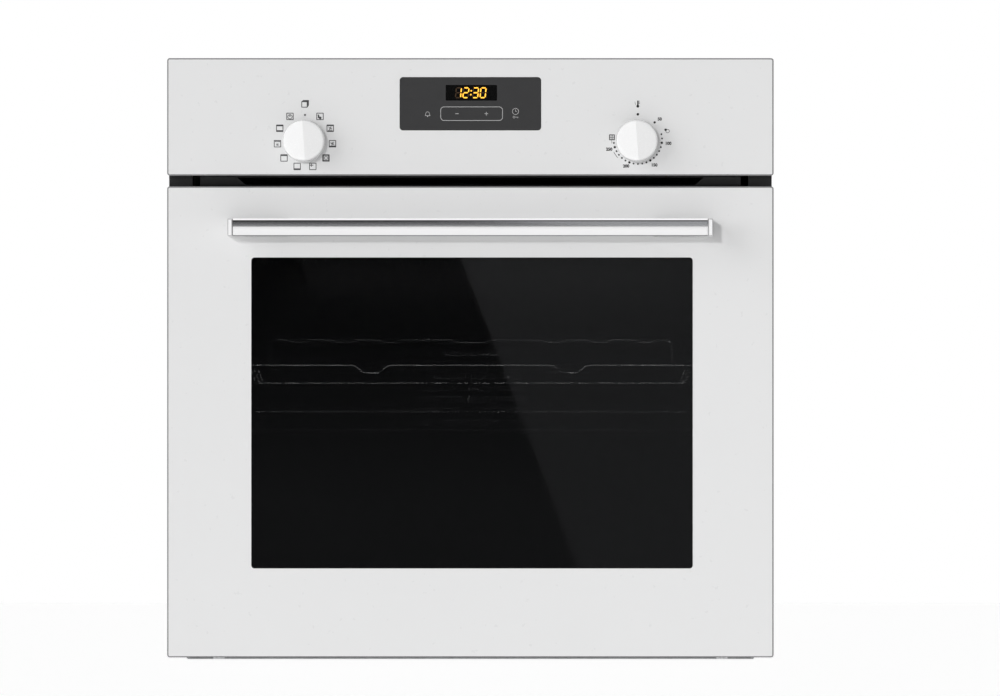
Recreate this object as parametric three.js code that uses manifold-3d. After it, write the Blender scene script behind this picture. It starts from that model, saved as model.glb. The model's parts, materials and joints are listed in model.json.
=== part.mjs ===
// A built-in single oven for a 600 mm kitchen niche, as an assembly of separate pieces.
// Millimetres, +X to the user's right, +Z up, the front faces -Y.
// Inside the "oven" group y = 0 is the plane of the cabinet front. The group is then moved so that
// the origin lies under the middle of the whole object, on the surface that it stands on.

import * as THREE from 'three';
import { mergeVertices } from 'three/addons/utils/BufferGeometryUtils.js';
import Module from 'manifold-3d';

const wasm = await Module();
wasm.setup();

// Driving dimensions
const FRONT_WIDTH = 594;
const FRONT_HEIGHT = 590;
const FRONT_THICKNESS = 20;
const HANDLE_REACH = 45;
const BODY_WIDTH = 557;
const BODY_HEIGHT = 577;
const BODY_DEPTH = 548;
const GAP = 0.3;
const SHEET = 1.2;
const GLASS = 4;
const CORNER = 2.5;

const FRONT_Y = -FRONT_THICKNESS;
const HANDLE_Y = FRONT_Y - HANDLE_REACH;
const HALF_FRONT = FRONT_WIDTH / 2;
const HALF_BODY = BODY_WIDTH / 2;
const DEPTH_CENTRE = (BODY_DEPTH + HANDLE_Y) / 2;

// Control panel and what stands on it
const PANEL_BOTTOM = 475;
const KNOB_X = 163;
const KNOB_Z = 509;
const KNOB_RADIUS = 20.8;
const KNOB_HEIGHT = 22;
const SPINDLE_RADIUS = 3;
const DISPLAY = { width: 138.6, bottom: 519.2, top: 571.4, corner: 3.4, depth: 3 };

// Door
const DOOR_BOTTOM = 3;
const DOOR_TOP = 464.3;
const HINGE_Y = -8;
const HINGE_Z = 8;
const HINGE_X = 246.5;
const PIN_RADIUS = 2;
const DOOR_BACK = 22;
const STILE = { inner: 236, outer: 262, bottom: 30, top: 456 };
const HANDLE = { half: 236.8, bar: 231.7, centre: 423.8, height: 17, depth: 14, foot: 58.7 };

// Cavity
const CAVITY = { half: 240, bottom: 75, top: 432, front: 24.6, back: 455, wall: 1.5, corner: 18 };
const FRAME_Y = 24.6;
const FAN_Z = 253.5;
const LAMP = { x: -195, z: 375 };
const LEVEL_FIRST = 101;
const LEVEL_PITCH = 60;
const LEVELS = 5;
const RUNNER = { x: 229.5, radius: 3, front: 45, back: 412 };
const SHELF_LEVEL = 3;
const TRAY_LEVEL = 2;
const FLANGE = { inner: 272.6, seat: 279.4, outer: 295.6, top: 474.6, step: 0.6 };
const DUCT = { bottom: 465, top: 474.4, half: 265 };
const BLOWER = { y: 400, half: 75, bottom: 478, top: 522, rotor: 55 };
const INSULATION = { half: 262, bottom: 50, top: 457 };

// ---- solids -------------------------------------------------------------------------------------

/** A closed three.js geometry as a manifold-3d solid. */
function toSolid(geometry) {
  const bare = geometry.clone();
  for (const name of Object.keys(bare.attributes)) {
    if (name !== 'position') bare.deleteAttribute(name);
  }
  const merged = mergeVertices(bare, 1e-4);
  return new wasm.Manifold(new wasm.Mesh({
    numProp: 3,
    vertProperties: new Float32Array(merged.attributes.position.array),
    triVerts: new Uint32Array(merged.index.array),
  }));
}

function toGeometry(solid) {
  const mesh = solid.getMesh();
  const geometry = new THREE.BufferGeometry();
  geometry.setAttribute('position', new THREE.BufferAttribute(new Float32Array(mesh.vertProperties), 3));
  geometry.setIndex(new THREE.BufferAttribute(new Uint32Array(mesh.triVerts), 1));
  geometry.computeVertexNormals();
  return geometry;
}

/** The first geometry joined with all the others. */
function join(first, ...others) {
  return toGeometry(others.flat().reduce((sum, g) => sum.add(toSolid(g)), toSolid(first)));
}

/** The first geometry with all the others cut away. */
function cut(first, ...others) {
  return toGeometry(others.flat().reduce((rest, g) => rest.subtract(toSolid(g)), toSolid(first)));
}

// ---- shapes -------------------------------------------------------------------------------------

/** A block between two corners. */
function block(x0, x1, y0, y1, z0, z1) {
  const geometry = new THREE.BoxGeometry(x1 - x0, y1 - y0, z1 - z0);
  return geometry.translate((x0 + x1) / 2, (y0 + y1) / 2, (z0 + z1) / 2);
}

/** A cylinder about an axis, 'x', 'y' or 'z', from one end to the other along it. */
function rod(axis, centre, radius, from, to, sides = 12) {
  const geometry = new THREE.CylinderGeometry(radius, radius, to - from, sides);
  if (axis === 'x') geometry.rotateZ(-Math.PI / 2);
  if (axis === 'z') geometry.rotateX(Math.PI / 2);
  const middle = (from + to) / 2;
  const [a, b] = centre;
  if (axis === 'x') return geometry.translate(middle, a, b);
  if (axis === 'y') return geometry.translate(a, middle, b);
  return geometry.translate(a, b, middle);
}

/** A rectangle with round corners, as a flat shape. */
function roundedRect(x0, x1, y0, y1, radius, Kind = THREE.Shape) {
  const shape = new Kind();
  const quarter = Math.PI / 2;
  shape.moveTo(x0 + radius, y0);
  shape.lineTo(x1 - radius, y0);
  shape.absarc(x1 - radius, y0 + radius, radius, -quarter, 0, false);
  shape.lineTo(x1, y1 - radius);
  shape.absarc(x1 - radius, y1 - radius, radius, 0, quarter, false);
  shape.lineTo(x0 + radius, y1);
  shape.absarc(x0 + radius, y1 - radius, radius, quarter, 2 * quarter, false);
  shape.lineTo(x0, y0 + radius);
  shape.absarc(x0 + radius, y0 + radius, radius, 2 * quarter, 3 * quarter, false);
  return shape;
}

function polygon(points) {
  return new THREE.Shape(points.map(([x, y]) => new THREE.Vector2(x, y)));
}

/** A shape drawn as (x, z), facing the user, with its thickness along y. */
function upright(shape, y0, y1, segments = 4) {
  const geometry = new THREE.ExtrudeGeometry(shape, {
    depth: y1 - y0, bevelEnabled: false, curveSegments: segments,
  });
  return geometry.rotateX(Math.PI / 2).translate(0, y1, 0);
}

/** A shape drawn as (y, z), seen from the side, with its thickness along x. */
function sideways(shape, x0, x1, segments = 4) {
  const geometry = new THREE.ExtrudeGeometry(shape, {
    depth: x1 - x0, bevelEnabled: false, curveSegments: segments,
  });
  return geometry.rotateX(Math.PI / 2).rotateZ(Math.PI / 2).translate(x0, 0, 0);
}

/** A shape drawn as (x, y), seen from above, with its thickness along z. */
function flat(shape, z0, z1, segments = 4) {
  const geometry = new THREE.ExtrudeGeometry(shape, {
    depth: z1 - z0, bevelEnabled: false, curveSegments: segments,
  });
  return geometry.translate(0, 0, z0);
}

/** A wire's centre line: straight runs through its corners, each corner bent to a radius. */
class BentWire extends THREE.Curve {
  constructor(corners, bend, bendSteps = 3) {
    super();
    const at = corners.map((c) => new THREE.Vector3(...c));
    this.stations = [at[0]];
    for (let i = 1; i < at.length - 1; i += 1) {
      const back = at[i - 1].clone().sub(at[i]);
      const ahead = at[i + 1].clone().sub(at[i]);
      const reach = Math.min(bend, back.length() * 0.45, ahead.length() * 0.45);
      const start = at[i].clone().add(back.setLength(reach));
      const end = at[i].clone().add(ahead.setLength(reach));
      const arc = new THREE.QuadraticBezierCurve3(start, at[i], end);
      this.stations.push(...arc.getPoints(bendSteps));
    }
    this.stations.push(at[at.length - 1]);
  }

  getPoint(t) {
    const place = t * (this.stations.length - 1);
    const i = Math.min(Math.floor(place), this.stations.length - 2);
    return this.stations[i].clone().lerp(this.stations[i + 1], place - i);
  }

  getPointAt(u) {
    return this.getPoint(u);
  }

  getTangentAt(u) {
    const last = this.stations.length - 1;
    const i = Math.round(u * last);
    const before = this.stations[Math.max(i - 1, 0)];
    const after = this.stations[Math.min(i + 1, last)];
    return after.clone().sub(before).normalize();
  }

  getSpacedPoints() {
    return this.stations.map((p) => p.clone());
  }
}

/** A round wire or tube bent along straight runs. */
function wire(corners, radius, bend = 8, sides = 6, bendSteps = 2) {
  const path = new BentWire(corners, bend, bendSteps);
  const section = new THREE.Shape();
  for (let i = 0; i < sides; i += 1) {
    const turn = (2 * Math.PI * i) / sides;
    const point = [radius * Math.cos(turn), radius * Math.sin(turn)];
    if (i === 0) section.moveTo(...point);
    else section.lineTo(...point);
  }
  return new THREE.ExtrudeGeometry(section, {
    steps: path.stations.length - 1, extrudePath: path, bevelEnabled: false,
  });
}

// ---- materials ----------------------------------------------------------------------------------

const finish = (color, roughness, metalness = 0) => ({ color, roughness, metalness });
const WHITE_GLASS = finish(0xe2e2e2, 0.12);
const CLEAR_GLASS = finish(0x30353a, 0.05);
const WHITE_PLASTIC = finish(0xf2f2f2, 0.3);
const DARK_PLASTIC = finish(0x3a3a3a, 0.3);
const BLACK_PLASTIC = finish(0x141414, 0.5);
const GALVANISED = finish(0xa8acae, 0.45, 1);
const STEEL = finish(0xc8cacb, 0.25, 1);
const ENAMEL = finish(0x2b2c30, 0.3);
const GREY_PAINT = finish(0x3a3c3e, 0.5);
const HEATER = finish(0x4a4745, 0.55, 0.8);
const WOOL = finish(0xd8cfa8, 0.95);
const RUBBER = finish(0x2a2a2c, 0.8);
const CERAMIC = finish(0xe6e2d8, 0.5);
const BRASS = finish(0xb59a57, 0.35, 1);

const oven = new THREE.Group();

/** Adds one named piece to the oven. */
function piece(name, geometry, look) {
  const mesh = new THREE.Mesh(geometry, new THREE.MeshStandardMaterial(look));
  mesh.name = name;
  oven.add(mesh);
  return mesh;
}

/** Both sides of a mirrored pair: -1 is the left, +1 the right. */
const SIDES = [['left', -1], ['right', 1]];

/** The lower and higher of two x values once they are put on one side. */
function span(side, inner, outer) {
  return side < 0 ? [-outer, -inner] : [inner, outer];
}

// ---- housing ------------------------------------------------------------------------------------

function addHousing() {
  const lip = 18;
  const slots = [-2, -1, 0, 1, 2].map((i) => block(i * 70 - 25, i * 70 + 25, 470, 476, -5, 5));
  const floor = join(
    block(-HALF_BODY, HALF_BODY, 26, BODY_DEPTH - 1.5, 0, SHEET),
    block(-HALF_BODY + 1.7, -HALF_BODY + 2.9, 26, BODY_DEPTH - 2, 0.6, lip),
    block(HALF_BODY - 2.9, HALF_BODY - 1.7, 26, BODY_DEPTH - 2, 0.6, lip),
  );
  piece('base_panel', cut(floor, slots), GALVANISED);

  for (const [name, side] of SIDES) {
    const [x0, x1] = span(side, HALF_BODY - SHEET, HALF_BODY);
    const outline = polygon([[0.3, 1.5], [546.5, 1.5], [546.5, 575.5], [0.3, 575.5]]);
    const vents = [0, 1, 2, 3, 4].map((i) => block(x0 - 1, x1 + 1, 60 + i * 24, 76 + i * 24, 530, 534));
    piece(`${name}_side_panel`, cut(sideways(outline, x0, x1), vents), GALVANISED);

    const [f0, f1] = span(side, FLANGE.seat, FLANGE.outer);
    const [s0, s1] = span(side, FLANGE.inner, FLANGE.seat + FLANGE.step);
    const [r0, r1] = span(side, FLANGE.inner, FLANGE.inner + SHEET);
    const screws = [90, 380].map((z) => rod('y', [side * 286, z], 2.6, -5, 5, 16));
    const angle = join(
      block(f0, f1, -SHEET, 0, DOOR_BOTTOM, FLANGE.top),
      block(s0, s1, -SHEET - FLANGE.step, -FLANGE.step, DOOR_BOTTOM, FLANGE.top),
      block(r0, r1, -SHEET, FRAME_Y - GAP, DOOR_BOTTOM, FLANGE.top),
    );
    piece(`${name}_front_flange`, cut(angle, screws), GREY_PAINT);
  }

  const topSlots = [0, 1, 2, 3, 4, 5].map((i) => block(-200, -60, 90 + i * 12, 95 + i * 12, 570, 580));
  const top = block(-HALF_BODY, HALF_BODY, 0.3, 546.5, BODY_HEIGHT - SHEET, BODY_HEIGHT);
  piece('top_cover', cut(top, topSlots), GALVANISED);

  const back = block(-HALF_BODY, HALF_BODY, BODY_DEPTH - SHEET, BODY_DEPTH, 1.5, 575.5);
  const backSlots = [];
  for (let row = 0; row < 5; row += 1) {
    for (const x of [-60, 0, 60]) {
      backSlots.push(block(x - 22, x + 22, 540, 555, FAN_Z - 42 + row * 20, FAN_Z - 37 + row * 20));
    }
  }
  const inlet = block(-236, -164, 540, 555, 512, 556);
  piece('rear_cover', cut(back, backSlots, inlet), GALVANISED);

  const mouth = CAVITY.half + CAVITY.wall + GAP;
  const face = upright(polygon([[-277, 3], [277, 3], [277, 464.4], [-277, 464.4]]), FRAME_Y, FRAME_Y + SHEET);
  const hole = roundedRect(
    -mouth, mouth, CAVITY.bottom - CAVITY.wall - GAP, CAVITY.top + CAVITY.wall + GAP, CAVITY.corner + 1.8,
  );
  const ears = [-1, 1].map((s) => block(s * HINGE_X - 2.3, s * HINGE_X + 2.3, 20, 30, 1, 17));
  piece('front_frame', cut(face, upright(hole, 20, 30), ears), ENAMEL);
}

function addPanelCarrier() {
  const half = HALF_FRONT - 4;
  const section = polygon([
    [-15.7, 476.2], [0, 476.2], [0, 588.8], [-15.7, 588.8],
    [-15.7, 587.6], [-1.2, 587.6], [-1.2, 477.4], [-15.7, 477.4],
  ]);
  const ends = [-1, 1].map((s) => block(...span(s, half - SHEET, half), -15.7, -0.6, 476.8, 588.2));
  const spindles = [-1, 1].map((s) => rod('y', [s * KNOB_X, KNOB_Z], 5, -5, 5));
  const clock = block(-62, 62, -5, 5, 519, 571);
  piece('panel_carrier', cut(join(sideways(section, -half, half), ends), spindles, clock), GALVANISED);
}

function addControlPanel() {
  const outline = roundedRect(-HALF_FRONT, HALF_FRONT, PANEL_BOTTOM, FRONT_HEIGHT, CORNER);
  for (const side of [-1, 1]) {
    const bore = new THREE.Path();
    bore.absarc(side * KNOB_X, KNOB_Z, 5, 0, 2 * Math.PI, false);
    outline.holes.push(bore);
  }
  const half = DISPLAY.width / 2 + GAP;
  outline.holes.push(roundedRect(
    -half, half, DISPLAY.bottom - GAP, DISPLAY.top + GAP, DISPLAY.corner + GAP, THREE.Path,
  ));
  piece('control_panel', upright(outline, FRONT_Y, FRONT_Y + GLASS), WHITE_GLASS);

  const plate = roundedRect(
    -DISPLAY.width / 2, DISPLAY.width / 2, DISPLAY.bottom, DISPLAY.top, DISPLAY.corner,
  );
  piece('display_plate', upright(plate, FRONT_Y - 0.4, FRONT_Y + DISPLAY.depth), DARK_PLASTIC);
  const module = join(
    block(-61, 61, -15.5, 30, 520, 570),
    block(-52, 52, 29, 48, 526, 564),
  );
  piece('clock_module', module, BLACK_PLASTIC);
}

/** A knob with a roof-shaped face: two slopes that meet in a ridge through the middle. */
function knobBody(side) {
  const face = FRONT_Y - KNOB_HEIGHT;
  const base = FRONT_Y - GAP;
  const skirt = [[0, 0], [KNOB_RADIUS, 0], [KNOB_RADIUS, 8], [KNOB_RADIUS - 0.9, KNOB_HEIGHT], [0, KNOB_HEIGHT]];
  const points = skirt.map(([r, h]) => new THREE.Vector2(r, h));
  const round = new THREE.LatheGeometry(points, 28).rotateX(Math.PI);
  round.translate(side * KNOB_X, base, KNOB_Z);
  const low = 3.2;
  const wedges = [-1, 1].map((s) => {
    const x = side * KNOB_X;
    const outline = polygon(s < 0
      ? [[x, face - 1], [x, face], [x - 30, face + low * 1.4], [x - 30, face - 1]]
      : [[x, face - 1], [x + 30, face - 1], [x + 30, face + low * 1.4], [x, face]]);
    return flat(outline, KNOB_Z - 30, KNOB_Z + 30);
  });
  const bore = rod('y', [side * KNOB_X, KNOB_Z], SPINDLE_RADIUS + GAP, base - 12, base + 2);
  return cut(round, wedges, bore);
}

function addKnobs() {
  const names = { '-1': 'function', 1: 'temperature' };
  for (const side of [-1, 1]) {
    const at = [side * KNOB_X, KNOB_Z];
    const name = names[side];
    piece(`${name}_knob`, knobBody(side), WHITE_PLASTIC);
    piece(`${name}_spindle`, rod('y', at, SPINDLE_RADIUS, FRONT_Y - 11.5, 18), STEEL);
  }
  const bore = (side) => rod('y', [side * KNOB_X, KNOB_Z], SPINDLE_RADIUS + GAP, -1, 18.5);
  const wafers = [0, 1, 2].map((i) => block(-KNOB_X - 21, -KNOB_X + 21, 6 + i * 13, 10 + i * 13, 488, 530));
  const deck = join(block(-KNOB_X - 18, -KNOB_X + 18, 0.3, 46, 491, 527), wafers);
  piece('function_switch', cut(deck, bore(-1)), CERAMIC);
  const thermostat = join(
    block(KNOB_X - 20, KNOB_X + 20, 0.3, 32, 491, 527),
    rod('y', [KNOB_X, KNOB_Z], 14, 30, 42),
  );
  piece('thermostat', cut(thermostat, bore(1)), STEEL);
}

// ---- cavity -------------------------------------------------------------------------------------

function addCavity() {
  const { half, bottom, top, front, back, wall, corner } = CAVITY;
  const shell = upright(
    roundedRect(-half - wall, half + wall, bottom - wall, top + wall, corner + wall), front, back + wall,
  );
  const inside = upright(roundedRect(-half, half, bottom, top, corner), front - 1, back);
  const through = (x, z, r) => rod('y', [x, z], r, back - 5, back + 5);
  const holes = [
    through(0, FAN_Z, 8), through(LAMP.x, LAMP.z, 20.5), through(200, 400, 4),
    through(-25, 414, 4.2), through(25, 414, 4.2),
    through(-25, FAN_Z - 97, 4.2), through(25, FAN_Z - 97, 4.2),
  ];
  const vent = rod('z', [120, 300], 14, top - 5, top + 5);
  piece('oven_cavity', cut(shell, inside, holes, vent), ENAMEL);

  const reach = half + 7;
  const low = bottom - 8;
  const high = top + 8;
  const sealY = FRAME_Y - 1.2 - GAP;
  const corners = [
    [0, low], [reach, low], [reach, high], [-reach, high], [-reach, low], [0.5, low],
  ];
  const loop = wire(corners.map(([x, z]) => [x, sealY, z]), 1, 16, 4, 3);
  const bridge = rod('x', [sealY, low], 1, -2, 2, 4);
  piece('door_seal', join(loop, bridge), RUBBER);

  const { half: wide, bottom: under, top: over } = INSULATION;
  const blanket = upright(roundedRect(-wide, wide, under, over, 12), 30, 455);
  const hollow = upright(roundedRect(-half - 2.2, half + 2.2, 62, top + 2.2, 12), 25, 460);
  const neck = rod('z', [120, 300], 15, top - 5, over + 5);
  piece('insulation', cut(blanket, hollow, neck), WOOL);
}

/** The z of a level's runner axis, counted from 0 at the bottom. */
const levelZ = (level) => LEVEL_FIRST + level * LEVEL_PITCH;

function addShelfLadders() {
  for (const [name, side] of SIDES) {
    const parts = [];
    const post = side * (RUNNER.x + 5);
    for (const y of [62, 230, 398]) {
      parts.push(rod('z', [post, y], 2.5, 88, 392, 4));
    }
    for (let level = 0; level < LEVELS; level += 1) {
      const z = levelZ(level);
      parts.push(rod('y', [side * RUNNER.x, z], RUNNER.radius, RUNNER.front, RUNNER.back, 6));
      parts.push(rod('y', [side * (RUNNER.x + 4), z + 18], 2, RUNNER.front, RUNNER.back, 4));
    }
    parts.push(rod('y', [post, 90], 2.5, 60, 400, 4));
    parts.push(rod('y', [post, 390], 2.5, 60, 400, 4));
    piece(`${name}_shelf_ladder`, join(parts[0], parts.slice(1)), STEEL);
  }
}

function addWireShelf() {
  const side = 228;
  const front = 52;
  const back = 402;
  const z = levelZ(SHELF_LEVEL) + 6.15;
  const sunk = z - 15.6;
  const raised = z + 27;
  const parts = [];
  const dip = 7.5;
  const frontRod = [
    [-side, front, z], [-100, front, z], [-92, front, z - dip], [-74, front, z - dip], [-66, front, z],
    [66, front, z], [74, front, z - dip], [92, front, z - dip], [100, front, z], [side, front, z],
  ];
  parts.push(wire([[-side, back - 20, z], ...frontRod, [side, back - 20, z]], 3, 7, 6, 2));
  const rail = 205;
  parts.push(wire([
    [-side, back - 40, z], [-side, back, z], [-rail - 12, back, z], [-rail, back, z], [-rail, back, raised],
    [rail, back, raised], [rail, back, z], [rail + 12, back, z], [side, back, z], [side, back - 40, z],
  ], 2.8, 7, 6, 2));
  const wires = 19;
  for (let i = 0; i < wires; i += 1) {
    const x = (i - (wires - 1) / 2) * 21;
    parts.push(rod('y', [x, sunk], 1.6, front + 10, back - 8, 4));
  }
  for (const y of [front + 12, back - 10]) {
    parts.push(wire([
      [-side, y, z], [-side + 8, y, z], [-side + 14, y, sunk + 2.6],
      [side - 14, y, sunk + 2.6], [side - 8, y, z], [side, y, z],
    ], 2.2, 6, 4, 1));
  }
  parts.push(rod('x', [(front + back) / 2, sunk + 2.6], 2.2, -side + 16, side - 16, 4));
  piece('wire_shelf', join(parts[0], parts.slice(1)), STEEL);
}

function addTray() {
  const rim = levelZ(TRAY_LEVEL) + RUNNER.radius + GAP;
  const half = 230;
  const front = 50;
  const back = 400;
  const wallHalf = 217;
  const deep = 38;
  const outer = flat(roundedRect(-wallHalf, wallHalf, front + 12, back - 12, 14), rim - deep, rim + 1);
  const hollow = flat(
    roundedRect(-wallHalf + 1.2, wallHalf - 1.2, front + 13.2, back - 13.2, 12.8), rim - deep + 1.2, rim + 5,
  );
  const border = flat(roundedRect(-half, half, front, back, 16), rim, rim + 1);
  piece('baking_tray', cut(join(outer, border), hollow), ENAMEL);

  const z = rim + 18.5;
  const edge = 212;
  const near = front + 18;
  const far = back - 18;
  const parts = [rod('x', [near, z], 1.8, -edge, edge, 4)];
  parts.push(rod('x', [far, z], 1.8, -edge, edge, 4));
  parts.push(rod('x', [(near + far) / 2, z], 1.8, -edge, edge, 4));
  const wires = 21;
  for (let i = 0; i < wires; i += 1) {
    const x = (i - (wires - 1) / 2) * 20;
    parts.push(rod('y', [x, z + 2], 1.5, near - 2, far + 2, 4));
  }
  for (const x of [-edge + 4, edge - 4]) {
    for (const y of [near, far]) {
      parts.push(wire([
        [x - Math.sign(x) * 10, y, z], [x, y, z], [x + Math.sign(x) * 10, y, rim + 3.2],
        [x + Math.sign(x) * 16, y, rim + 3.2],
      ], 1.8, 4, 4, 1));
    }
  }
  piece('roasting_grid', join(parts[0], parts.slice(1)), STEEL);
}

function addHeaters() {
  const tail = CAVITY.back + 14;
  const zGrill = 414;
  piece('grill_heater', wire([
    [-25, tail, zGrill], [-25, 400, zGrill], [-165, 400, zGrill], [-165, 90, zGrill], [-55, 90, zGrill],
    [-55, 340, zGrill], [55, 340, zGrill], [55, 90, zGrill], [165, 90, zGrill], [165, 400, zGrill],
    [25, 400, zGrill], [25, tail, zGrill],
  ], 3.3, 26, 6, 3), HEATER);
  const zBase = 68;
  piece('bottom_heater', wire([
    [-25, tail, zBase], [-25, 410, zBase], [-180, 410, zBase], [-180, 80, zBase], [-60, 80, zBase],
    [-60, 330, zBase], [60, 330, zBase], [60, 80, zBase], [180, 80, zBase], [180, 410, zBase],
    [25, 410, zBase], [25, tail, zBase],
  ], 3.3, 26, 6, 3), HEATER);
  const ring = [];
  const turns = 18;
  const radius = 97;
  const open = 0.27;
  for (let i = 0; i <= turns; i += 1) {
    const angle = -Math.PI / 2 + open + ((2 * Math.PI - 2 * open) * i) / turns;
    ring.push([radius * Math.cos(angle), 440, FAN_Z + radius * Math.sin(angle)]);
  }
  const leg = (s) => [s * 25, tail, FAN_Z - radius];
  const elbow = (s) => [s * 25, 440, FAN_Z - radius];
  piece('ring_heater', wire(
    [leg(1), elbow(1), ...ring.slice(1, -1), elbow(-1), leg(-1)], 3.3, 9, 6, 1,
  ), HEATER);
}

function addFan() {
  const half = 150;
  const face = 424;
  const rear = CAVITY.back - GAP;
  const pan = upright(roundedRect(-half, half, FAN_Z - 122, FAN_Z + 122, 14), face, rear);
  const hollow = upright(roundedRect(-half + 1, half - 1, FAN_Z - 121, FAN_Z + 121, 13), face + 1, rear + 5);
  const openings = [];
  for (const s of [-1, 1]) {
    for (let i = 0; i < 7; i += 1) {
      const z = FAN_Z - 96 + i * 32;
      openings.push(block(s * 128 - 8, s * 128 + 8, face - 2, face + 3, z - 9, z + 9));
    }
  }
  for (let i = 0; i < 9; i += 1) {
    const z = FAN_Z - 48 + i * 12;
    const reach = Math.sqrt(56 ** 2 - (z - FAN_Z) ** 2);
    openings.push(block(-reach, reach, face - 2, face + 3, z - 3.5, z + 3.5));
  }
  piece('fan_baffle', cut(pan, hollow, openings), ENAMEL);

  const blades = [];
  const count = 12;
  for (let i = 0; i < count; i += 1) {
    const blade = block(20, 73, -6, 6, -0.6, 0.6);
    blade.translate(0, 438, 0).rotateY((2 * Math.PI * i) / count).translate(0, 0, FAN_Z);
    blades.push(blade);
  }
  const disc = rod('y', [0, FAN_Z], 75, 443.5, 444.7, 32);
  const hub = rod('y', [0, FAN_Z], 12, 433, 447);
  const bore = rod('y', [0, FAN_Z], 4.3, 430, 450);
  piece('convection_fan', cut(join(disc, hub, blades), bore), STEEL);
  piece('fan_shaft', rod('y', [0, FAN_Z], 4, 429, 512), STEEL);
  const motor = join(
    rod('y', [0, FAN_Z], 34, 466, 508, 28),
    block(-42, 42, 474, 500, FAN_Z - 26, FAN_Z + 26),
    block(-70, 70, 464, 466.5, FAN_Z - 12, FAN_Z + 12),
    block(-70, -66, 457, 466, FAN_Z - 12, FAN_Z + 12),
    block(66, 70, 457, 466, FAN_Z - 12, FAN_Z + 12),
  );
  piece('fan_motor', cut(motor, rod('y', [0, FAN_Z], 4.5, 450, 520)), STEEL);
}

function addLamp() {
  const { x, z } = LAMP;
  const { back, wall } = CAVITY;
  const outside = back + wall + GAP;
  const socket = cut(
    join(rod('y', [x, z], 26, outside, outside + 2), rod('y', [x, z], 19.5, back + 0.5, outside + 34)),
    rod('y', [x, z], 17, back - 2, outside + 22),
  );
  piece('lamp_socket', socket, CERAMIC);
  const bulb = [[0, 0], [6, 1], [6, 9], [9, 16], [10.5, 21], [9, 26], [5.5, 29.5], [0, 31]];
  const globe = new THREE.LatheGeometry(bulb.map(([r, h]) => new THREE.Vector2(r, h)), 16);
  globe.rotateX(Math.PI).translate(x, outside + 21.5, z);
  piece('lamp_bulb', globe, CLEAR_GLASS);
  const dome = [
    [0, 11.8], [11.2, 10.9], [18.4, 7.6], [21.5, 3.6], [22.5, 0], [25, 0], [24, 4], [20, 9.5], [12, 13], [0, 14],
  ];
  const cover = new THREE.LatheGeometry(dome.map(([r, h]) => new THREE.Vector2(r, h)), 24);
  cover.rotateX(Math.PI).translate(x, back - GAP, z);
  piece('lamp_glass', cover, CLEAR_GLASS);
}

// ---- air path and electrics ---------------------------------------------------------------------

function addAirPath() {
  const { bottom, top, half } = DUCT;
  const body = block(-half, half, -8, 40, bottom, top);
  const mouth = polygon([[-220, bottom + 1], [220, bottom + 1], [229, top - 1], [-229, top - 1]]);
  piece('air_outlet', cut(body, upright(mouth, -10, 45)), BLACK_PLASTIC);

  const near = 40.3;
  const far = BLOWER.y + 60;
  const plan = polygon([
    [-240, near], [240, near], [BLOWER.half, BLOWER.y - 120], [BLOWER.half, far],
    [-BLOWER.half, far], [-BLOWER.half, BLOWER.y - 120],
  ]);
  const room = polygon([
    [-237, near - 2], [237, near - 2], [BLOWER.half - 3, BLOWER.y - 120], [BLOWER.half - 3, far - 2],
    [-BLOWER.half + 3, far - 2], [-BLOWER.half + 3, BLOWER.y - 120],
  ]);
  const drop = rod('z', [0, BLOWER.y], BLOWER.rotor - 5, top - 3, top + 3, 28);
  const duct = cut(flat(plan, bottom, top), flat(room, bottom + 1, top - 1), drop);
  piece('air_duct', duct, GALVANISED);

  const low = top + GAP;
  const housing = cut(
    flat(roundedRect(-BLOWER.half, BLOWER.half, BLOWER.y - 70, BLOWER.y + 70, 20), low, BLOWER.top),
    rod('z', [0, BLOWER.y], BLOWER.rotor + 4, low - 2, BLOWER.top - 1.2, 32),
    rod('z', [0, BLOWER.y], 9, BLOWER.top - 5, BLOWER.top + 5),
  );
  const intake = [0, 1, 2, 3, 4, 5].map((i) => {
    const slot = block(18, 44, -4, 4, BLOWER.top - 3, BLOWER.top + 3);
    return slot.rotateZ((Math.PI * i) / 3).translate(0, BLOWER.y, 0);
  });
  piece('blower_housing', cut(housing, intake), GALVANISED);

  const vanes = [];
  const count = 14;
  for (let i = 0; i < count; i += 1) {
    const vane = block(34, BLOWER.rotor - 1, -0.6, 0.6, BLOWER.bottom + 4, BLOWER.top - 8);
    vanes.push(vane.rotateZ((2 * Math.PI * i) / count).translate(0, BLOWER.y, 0));
  }
  const disc = rod('z', [0, BLOWER.y], BLOWER.rotor, BLOWER.bottom + 3, BLOWER.bottom + 4.5, 32);
  const hub = rod('z', [0, BLOWER.y], 8, BLOWER.bottom + 3, BLOWER.top - 6);
  const shaft = rod('z', [0, BLOWER.y], 3, BLOWER.top - 8, BLOWER.top + 24);
  piece('blower_rotor', join(disc, hub, vanes, shaft), GALVANISED);

  const motor = join(
    block(-30, 30, BLOWER.y - 26, BLOWER.y + 26, BLOWER.top + 8, BLOWER.top + 30),
    rod('z', [0, BLOWER.y], 18, BLOWER.top + 4, BLOWER.top + 36, 24),
    block(-62, -28, BLOWER.y - 6, BLOWER.y + 6, BLOWER.top + 12, BLOWER.top + 14),
    block(28, 62, BLOWER.y - 6, BLOWER.y + 6, BLOWER.top + 12, BLOWER.top + 14),
    block(-62, -59, BLOWER.y - 6, BLOWER.y + 6, BLOWER.top + GAP, BLOWER.top + 14),
    block(59, 62, BLOWER.y - 6, BLOWER.y + 6, BLOWER.top + GAP, BLOWER.top + 14),
  );
  piece('blower_motor', cut(motor, rod('z', [0, BLOWER.y], 3.5, BLOWER.top, BLOWER.top + 26)), STEEL);
}

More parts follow.
